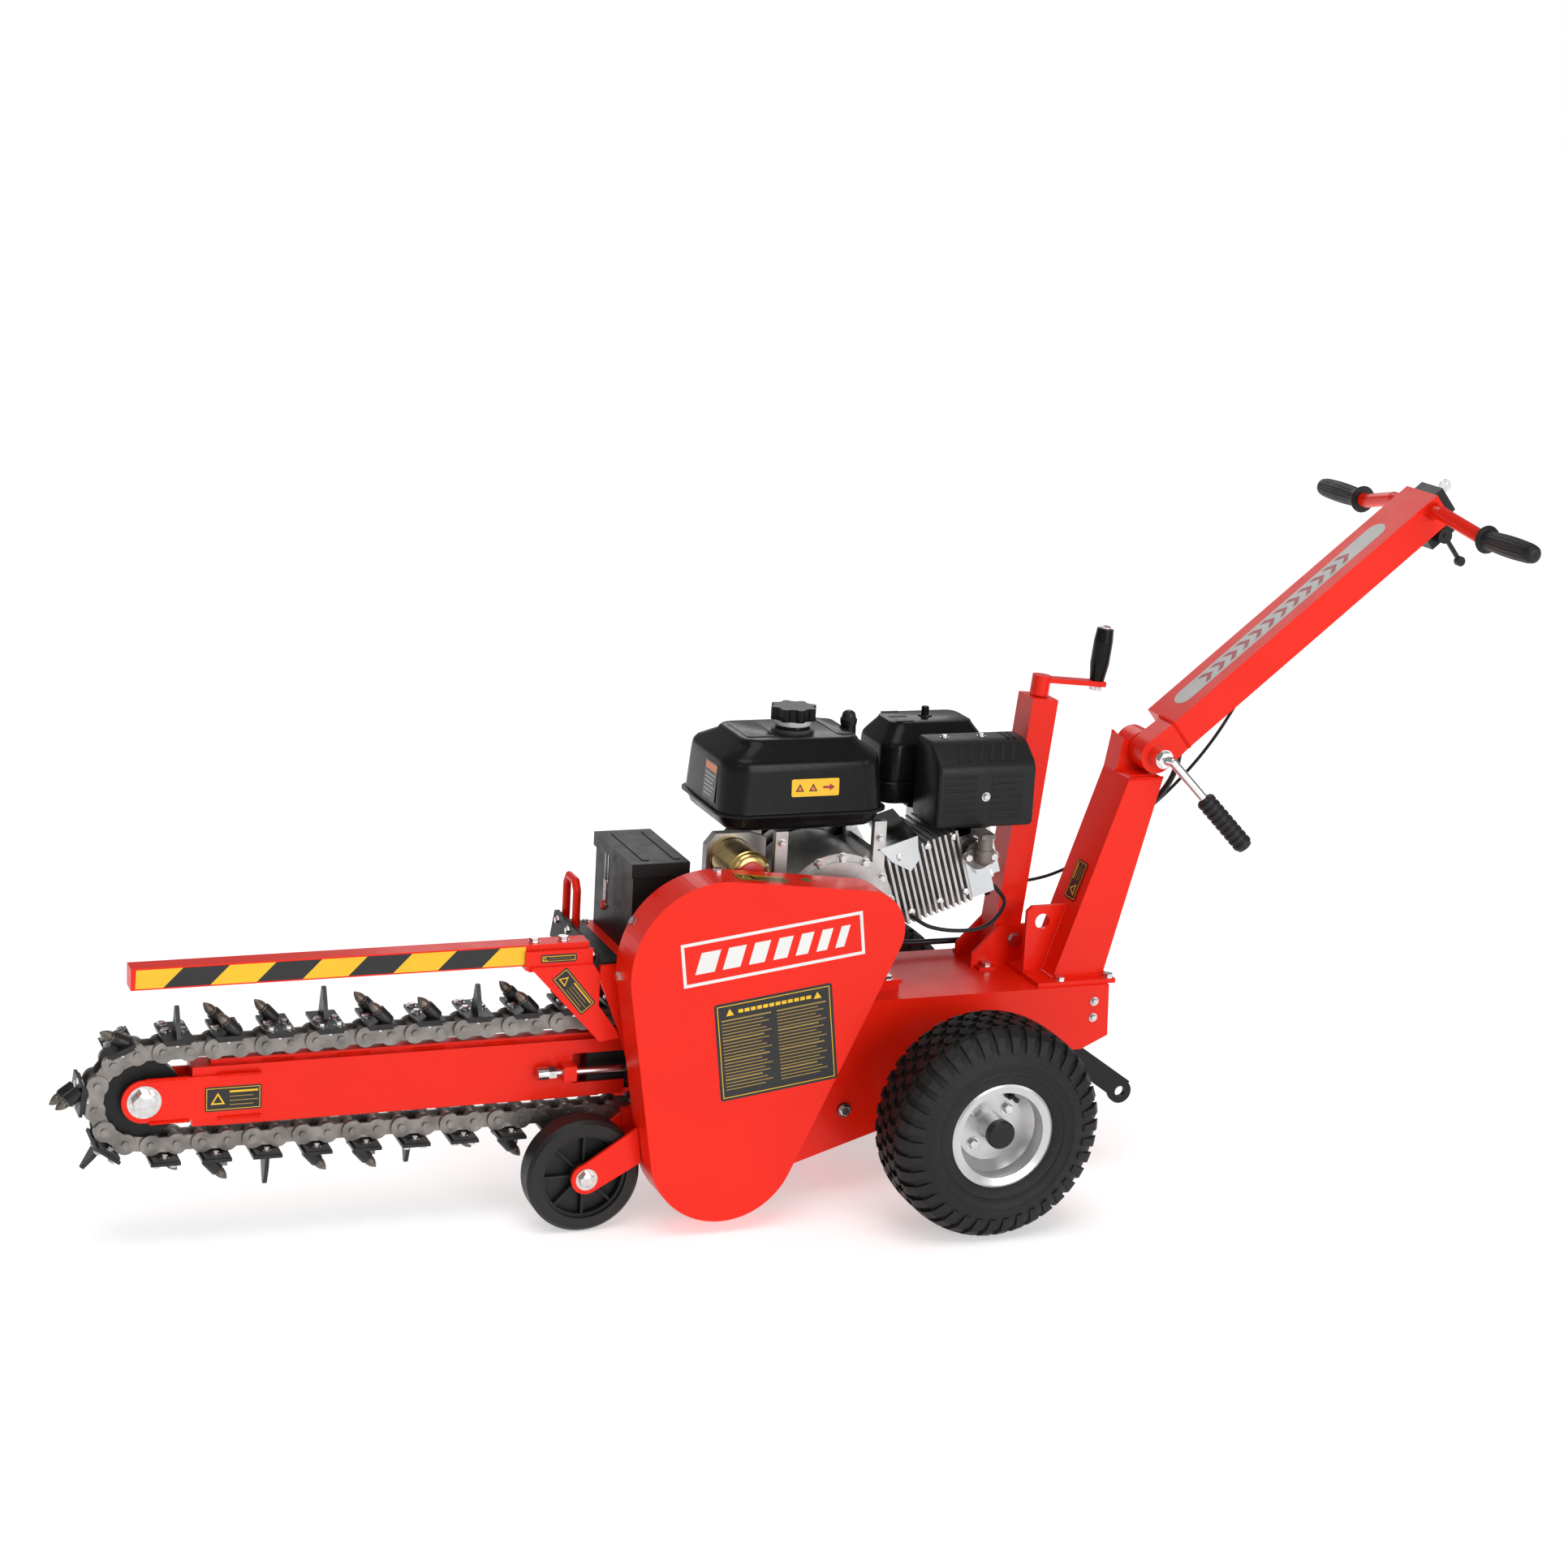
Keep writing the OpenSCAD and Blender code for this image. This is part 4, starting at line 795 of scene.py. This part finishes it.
def engine_bolts():
    """Bolts round the crankcase cover, on the silencer, the head, the barrel and the fan's drum."""
    ahead, _ = tilted(BARREL_TILT)
    bolts = Pile()
    for i in range(7):
        bolts.bolt(round_crank(10 + i * 26, 97, -100), -Y, 7, 6)
    for x in (-319, -139):
        for z in (575, 640):
            bolts.bolt(at(x, -88, z), -Y, 6, 6)
    for x in (20, 68):
        bolts.bolt(at(x, -107, 604), -Y, 7.5, 7)
    bolts.bolt(at(54, -90, 706), -Y, 6, 5)
    for x in (0, 70):
        bolts.bolt(at(x, -20, 796), Z, 6, 4)
    for w in (-42, 42):
        for y in (-76, 50):
            bolts.bolt(on_barrel(294, y, w), ahead, 6.5, 6)
    for u in (135, 190, 240):
        for w in (-52, 52):
            bolts.turned([(0, 6), (5, 6), (6, 4)], on_barrel(u, -86, w), -Y, 16)
    for i in range(6):
        bolts.bolt(round_crank(30 + 60 * i, 116, 158), Y, 6, 4)
    bolts.make("engine_bolts", "zinc", "chassis")


def barrel_shroud():
    """Two bright sheets, over the barrel and down its near side."""
    _, square = tilted(BARREL_TILT)
    plates = Pile()
    top = ((100, -88), (176, -88), (196, 66), (100, 66))
    plates.slab([on_barrel(u, y, 75.5) for u, y in top], square, 2.5)
    side = ((104, 78), (176, 78), (168, 34), (150, 20), (120, 48))
    plates.slab([on_barrel(u, -88, w) for u, w in side], -Y, 2.0)
    plates.make("barrel_shroud", "head", "chassis", smooth=False)


def exhaust_flange():
    """A six-sided flange and the socket of the exhaust pipe."""
    cast = Pile()
    flange = ((8, 604), (22, 618), (66, 618), (80, 604), (66, 590), (22, 590))
    cast.slab([at(x, -104.5, z) for x, z in flange][::-1], -Y, 5)
    cast.turned([(0, 15), (4, 15.5), (8, 15)], at(44, -122, 612), Z, 24)
    cast.make("exhaust_flange", "iron", "chassis")


def engine_openings():
    """A ring of thin discs of painted shade, standing for the holes in the fan's drum."""
    dark = Pile()
    for i in range(24):
        dark.turned([(0, 3.4), (0.6, 3.2)], round_crank(i * 15, 104, 158.3), Y, 10)
    dark.make("engine_openings", "dark", "chassis", smooth=False)


def engine_trim():
    """White parts: the ring under the fuel cap and a fitting low on the crankcase."""
    trim = Pile()
    trim.turned([(0, 30.5), (2, 31.5), (7, 31.5), (9, 30.5)], at(-262, 35, 816), Z, 48, 0)
    trim.turned([(0, 12), (4, 12), (4, 7), (14, 7), (15, 5)], at(-95, -50, 432), X, 20, 0)
    trim.turned([(0, 5), (34, 5)], at(-83, -67, 432), Y, 12, 0)
    trim.make("engine_trim", "white", "chassis")


def engine_caps():
    """Black parts: the tank's vent, the spark plug's cap and the pull handle on the fan's drum."""
    _, square = tilted(BARREL_TILT)
    black = Pile()
    black.turned([(0, 14), (9, 15), (12, 13), (20, 11), (24, 6)], at(-165, 20, 816), Z, 20)
    black.turned([(0, 9), (10, 10), (22, 9), (34, 7), (40, 5)], on_barrel(300, -30, -58), -square, 16)
    black.turned([(0, 6), (8, 9), (78, 9), (86, 6)], at(-258, 182, 615.5), X, 16)
    black.make("engine_caps", "plastic", "chassis")


engine_bolts()
barrel_shroud()
exhaust_flange()
engine_openings()
engine_trim()
engine_caps()


def ring(x0, x1, y0, y1, z, r, steps=8):
    """A rounded rectangle at one height, as points on the machine."""
    points = []
    corners = ((x1 - r, y1 - r, 0), (x0 + r, y1 - r, 90), (x0 + r, y0 + r, 180), (x1 - r, y0 + r, 270))
    for cx, cy, start in corners:
        for i in range(steps + 1):
            a = math.radians(start + 90 * i / steps)
            points.append(at(cx + r * math.cos(a), cy + r * math.sin(a), z))
    return points


def moulded(pile, levels, kind=0):
    """A closed skin through rounded rectangles given as (x0, x1, y0, y1, z, r), lowest first."""
    rings = [ring(*level) for level in levels]
    n = len(rings[0])
    faces = tube_faces(len(rings), n)
    faces += [list(range(n))[::-1], [(len(rings) - 1) * n + i for i in range(n)]]
    pile.add([p for one in rings for p in one], faces, kind)


def inset(level, by, z):
    """The same rounded rectangle, smaller all round and at another height."""
    x0, x1, y0, y1, _, r = level
    return (x0 + by, x1 - by, y0 + by, y1 - by, z, max(4, r - by))


def tank():
    """A moulded shell with a seam flange, two raised pads, the filler neck and the vent's neck."""
    low, foot = (-396, -168, -72, 103, 660, 40), (-424, -136, -94, 130, 680, 42)
    waist = (-430, -130, -100, 135, 690, 44)
    shoulder, crown = (-424, -138, -94, 128, 776, 46), (-392, -162, -68, 104, 810, 40)
    pile = Pile()
    moulded(pile, [low, inset(foot, 12, 664), inset(foot, 3, 672), foot, waist, inset(waist, 1.5, 700),
                   inset(shoulder, -1.5, 765), shoulder, inset(shoulder, 2, 782), inset(shoulder, 8, 788),
                   inset(crown, 5, 803), inset(crown, 8, 808), inset(crown, 12, 811),
                   inset(crown, 20, 812.5)])
    seam = (-435, -125, -105, 140, 690, 46)
    moulded(pile, [inset(seam, 2, 689), seam, inset(seam, 0, 693.5), inset(seam, 2, 694.5)])
    for x0, x1 in ((-372, -316), (-208, -176)):
        moulded(pile, [(x0, x1, -40, 76, 809, 12), (x0 + 1, x1 - 1, -39, 75, 813.4, 12),
                       (x0 + 4, x1 - 4, -36, 72, 814.6, 10)])
    pile.turned([(0, 30), (3, 29), (8, 27)], at(-262, 35, 811), Z, 40)
    pile.turned([(0, 17), (4, 14), (32, 13)], at(-165, 20, 784), Z, 32)
    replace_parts(pile.make("tank_shell", "black", "chassis"), "fuel_tank")


def air_box():
    """A moulded cover with a parting line, its neck below, a knob on top and three short ribs."""
    foot, waist = (-82, 116, 38, 172, 664, 28), (-86, 120, 34, 176, 672, 30)
    shoulder, crown = (-84, 118, 36, 174, 764, 32), (-66, 100, 54, 156, 803, 30)
    pile = Pile()
    moulded(pile, [foot, waist, inset(waist, 0, 700), inset(waist, 2, 702), inset(waist, 2, 705),
                   inset(waist, 0, 707), shoulder, inset(shoulder, 2, 770), inset(shoulder, 6, 775),
                   inset(crown, 3, 797), inset(crown, 6, 802), inset(crown, 12, 804.5)])
    moulded(pile, [(-20, 60, 60, 140, 648, 14), (-20, 60, 60, 140, 665, 14)])
    pile.turned([(0, 13), (3, 12), (3, 7), (16, 7), (18, 5)], at(17, 105, 804), Z, 24)
    for y in (70, 105, 140):
        pile.slab([at(-52, y - 3, 803), at(-20, y - 3, 803), at(-20, y + 3, 803), at(-52, y + 3, 803)],
                  Z, 2.6)
    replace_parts(pile.make("air_box_shell", "black", "chassis"), "air_cleaner")


def silencer():
    """The folded guard over the silencer: rounded edges, a sloping top and rows of slots, each slot a thin
    dark sheet of painted shade.
    """
    corners = ((-90, 650, 10), (16, 650, 10), (16, 796, 12), (-42, 796, 16), (-90, 762, 16))
    outline = []
    for k, (y, z, r) in enumerate(corners):
        here = Vector((y, z))
        back = (Vector(corners[k - 1][:2]) - here).normalized()
        ahead = (Vector(corners[(k + 1) % 5][:2]) - here).normalized()
        for i in range(7):
            t = i / 6
            outline.append(here + back * r * (1 - t) ** 2 + ahead * r * t ** 2)
    middle = Vector((-38, 720))
    pile = Pile()
    rows = []
    rounding = ((-36, 6), (-34.5, 2.5), (-32, 0.6), (-29, 0), (141, 0), (144, 0.6), (146.5, 2.5), (148, 6))
    for x, by in rounding:
        rows.append([at(x, *(p + (middle - p).normalized() * by)) for p in outline])
    n = len(outline)
    faces = [[k * n + i, (k + 1) * n + i, (k + 1) * n + (i + 1) % n, k * n + (i + 1) % n]
             for k in range(len(rows) - 1) for i in range(n)]
    faces += [list(range(n)), [(len(rows) - 1) * n + i for i in reversed(range(n))]]
    pile.add([p for row in rows for p in row], faces)
    # Each slot: a thin dark sheet of painted shade, with a thin lip of the guard's own finish above it.
    for z in range(668, 743, 12):
        for x in (-24, 64):
            slot = [at(x, -90.2, z), at(x + 60, -90.2, z),
                    at(x + 60, -90.2, z + 4.6), at(x, -90.2, z + 4.6)]
            pile.slab(slot, -Y, 0.3, 1)
            pile.slab([p + Vector((0, 0, -0.0016)) for p in slot[:2]] + slot[1::-1], -Y, 1.2, 0)
    # Dark strips of painted shade on the sloping top and on the top.
    slope = Vector((0, 48, 34)).normalized()
    outward = Vector((0, -34, 48)).normalized()
    for i in range(6):
        foot = at(i * 20, -82, 767.7) + outward * 0.4 * MM
        pile.slab([foot, foot + X * 7 * MM,
                   foot + (X * 21 + slope * 34) * MM, foot + (X * 14 + slope * 34) * MM], outward, 0.4, 1)
    for x in (112, 124):
        foot = at(x, -38, 796.2)
        pile.slab([foot, foot + X * 6 * MM, foot + (X * 6 + Y * 40) * MM, foot + Y * 40 * MM], Z, 0.4, 1)
    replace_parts(pile.make("silencer_guard", ["satin", "dark"], "chassis"), "muffler")


def starter():
    """A plated motor with its end cap and screws, the solenoid under it and the casting behind."""
    middle = at(-384, -63, 598)
    pile = Pile()
    pile.turned([(-49, 30), (-49, 36), (-47, 38), (-40, 38), (-39, 37), (36, 37), (37, 38), (49, 38)],
                middle, Y, 48, 0)
    pile.turned([(0, 36), (4, 35), (8, 31), (10, 24)], middle - Y * 49 * MM, -Y, 48, 0)
    pile.turned([(0, 23), (5, 22.5), (6, 20), (6.5, 10)], middle - Y * 58 * MM, -Y, 40, 1)
    pile.turned([(0, 6), (4, 6), (4, 3), (8, 3)], middle - Y * 63 * MM, -Y, 6, 2)
    for s in (-1, 1):
        pile.bolt(middle + Vector((s * 0.027, -0.055, s * 0.012)), -Y, 4, 4, 2)
    coil = at(-402, -58, 546)
    pile.turned([(-34, 15), (-34, 18), (-31, 19), (31, 19), (34, 17)], coil, Y, 36, 2)
    pile.turned([(0, 17), (9, 15), (10, 9)], coil - Y * 34 * MM, -Y, 24, 4)
    for s in (-1, 1):
        pile.turned([(0, 3), (12, 3)], coil + Vector((0.008 * s, -0.042, 0)), -Y, 10, 2)
    mount = ((-426, 540), (-420, 528), (-318.5, 528), (-318.5, 630), (-350, 640), (-410, 640), (-426, 620))
    pile.slab([at(x, -14, z) for x, z in mount], Y, 20, 3)
    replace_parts(pile.make("starter_body", ["gold", "lead", "zinc", "cast", "plastic"], "chassis"),
                "starter_motor")


tank()
air_box()
silencer()
starter()
plug_route = [(105, -40, 530), (120, -60, 500), (60, -96, 470), (-40, -100, 480), (-90, -60, 520)]
cable("plug_lead", plug_route, 7, "plastic", "chassis", 40)


# ---- handle fittings ----
def grips():
    """Two fluted rubber grips, each with a flange, a fuller middle and a small disc of painted shade on
    its end.
    """
    pile = Pile()
    profile = [(0, 17), (1, 24), (3, 25), (5, 24.5), (8, 19), (14, 17.2), (22, 17.6)]
    profile += [(26 + i * 5, 17.6 + 1.6 * math.sin(math.pi * i / 21)) for i in range(22)]
    profile += [(134, 17), (142, 15.5), (146, 12), (147.6, 6)]

    def flutes(along, a):
        return -0.9 * max(0, math.cos(a * 16)) if 22 < along < 132 else 0

    for side in (-1, 1):
        pile.turned(profile, on_beam(664, side * 202, -16), Y * side, 96, 0, flutes)
        # A small disc of painted shade on the grip's end.
        pile.turned([(0, 3), (0.4, 3)], on_beam(664, side * 349.4, -16), Y * side, 16, 1)
    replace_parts(pile.make("grip_sleeves", ["rubber", "dark"], "handle"), "handle_grips")


grips()


def clamp_grip():
    """A ribbed sleeve on the end of the clamp lever."""
    elbow = at(385, -140, 768)
    tip = at(442, -156, 706)
    lead = (tip - elbow).normalized()
    pile = Pile()
    profile = [(0, 10), (2, 15.5)]
    for i in range(9):
        rib = i * 12.4
        profile += [(3 + rib, 15.2), (5 + rib, 17.4), (11 + rib, 17.4), (13.4 + rib, 15.2)]
    profile += [(117, 14), (119, 9)]
    pile.turned(profile, tip + lead * 4 * MM, lead, 40)
    pile.make("clamp_grip_sleeve", "rubber", "clamp_lever")


clamp_grip()


# ---- cables, on the CAD's own routes ----
throttle_route = [(572, -46, 889), (566, -44, 868), (560, -40, 846), (551, -34, 822), (541, -26, 796),
                  (530, -17, 770), (517, -8, 744), (502, 1, 718), (485, 9, 693), (466, 17, 668),
                  (447, 28, 643), (428, 40, 618), (406, 53, 592), (380, 66, 566), (352, 77, 540),
                  (318, 86, 516), (280, 98, 497), (238, 107, 487), (194, 110, 486), (152, 109, 497),
                  (112, 106, 523), (80, 103, 561), (60, 101, 591), (48, 100, 612)]
harness_route = [(452, -46, 791), (452, -44, 777), (453, -40, 762), (455, -34, 744), (456, -26, 724),
                 (454, -16, 702), (448, -5, 680), (438, 6, 657), (425, 18, 633), (411, 30, 608),
                 (398, 41, 582), (388, 50, 554), (378, 57, 524), (367, 62, 494), (354, 68, 464),
                 (337, 75, 437), (313, 83, 414), (282, 92, 397), (244, 99, 388), (200, 104, 383),
                 (156, 108, 381), (110, 111, 380), (60, 112, 380), (10, 112, 381), (-36, 108, 388),
                 (-70, 103, 404), (-101, 100, 432)]
lead_route = [(-482.5, -60, 560), (-470, -70, 575), (-452, -80, 560), (-440, -70, 520), (-430, -60, 500),
              (-412, -58, 527)]


def battery_leads():
    """A red lead and a black one beside it, from the battery to the starter."""
    red_lead = cable("red_battery_lead", lead_route, 7, "lead", "chassis", 60)
    black_route = [(x, y + 20, z - 4) for x, y, z in lead_route]
    black_lead = cable("black_battery_lead", black_route, 7, "plastic", "chassis", 60)
    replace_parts(red_lead, "battery_cables")
    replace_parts(black_lead, "battery_cables")


def control_cables():
    """The two sleeves from handle to chassis, fixed in place of the CAD's own."""
    for name, route, width, bottom, top in (("throttle_cable", throttle_route, 6, 12, 1),
                                           ("wiring_harness", harness_route, 11, 10, 1)):
        piece = cable(f"{name}_sleeve", route, width, "plastic", None)
        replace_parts(piece, name)
        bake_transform(piece)


battery_leads()
control_cables()


# ---- small trim on the chassis, boom, crank, latch and lid ----
JACK_LEAN = math.radians(5.5)


def chassis_bolts():
    """Bolts on the frame's front, its top rails, the rear bracket, the side plate and the front fork."""
    pile = Pile()
    for y in (-100, -40, 40, 100):
        pile.bolt(at(-648.3, y, 466), -X, 6, 5)
    for x in (-596, -470, -365):
        pile.bolt(at(x, -110, 455), Z, 5.5, 5)
        pile.bolt(at(x, 112, 455), Z, 5.5, 5)
    for z in (300, 330):
        pile.bolt(at(280, -124, z), -Y, 6, 5)
    pile.bolt(at(-190, -128, 165), -Y, 9, 6)
    for y, way in ((-172, -Y), (-98, Y)):
        pile.bolt(at(-668, y, 98), way, 14, 9)
    pile.make("chassis_bolts", "zinc", "chassis")


def nose_bolt_heads():
    """A large head on each side of the nose roller."""
    nose_bolt = Pile()
    for y, way in ((-76, -Y), (-16, Y)):
        nose_bolt.bolt(Vector((nose.x, at(0, y, 0).y, nose.z)), way, 20.5, 13)
    nose_bolt.make("nose_bolt_heads", "zinc", "boom")


def crank_ends():
    """The nut under the crank's grip and the cap on top of it."""
    column_up = Vector((math.sin(JACK_LEAN), 0, math.cos(JACK_LEAN)))
    grip_axis = joint_at["crank_grip_spin"]
    ends = Pile()
    ends.turned([(0, 12), (7, 12), (8, 10.5)], grip_axis - column_up * 60 * MM, column_up, 6)
    ends.turned([(0, 9.6), (3.2, 9.6), (4.6, 7)], grip_axis + column_up * 52.2 * MM, column_up, 20)
    ends.make("crank_nut_and_cap", "zinc", "jack_crank")


def latch_tip():
    """The red tip of the battery lid's latch."""
    tab = Pile()
    tab.turned([(0, 4.5), (3, 6), (12, 6), (16, 4)], at(-594, 20, 522), -Z, 16)
    tab.make("latch_tip", "lead", "lid_latch")


def lid_ribs():
    """Two low ribs across the battery lid."""
    rib = Pile()
    for x in (-560, -505):
        rib.slab([at(x, -70, 616), at(x + 12, -70, 616), at(x + 12, 100, 616), at(x, 100, 616)], Z, 1.5)
    rib.make("lid_ribs", "satin", "battery_lid")


chassis_bolts()
nose_bolt_heads()
crank_ends()
latch_tip()
lid_ribs()
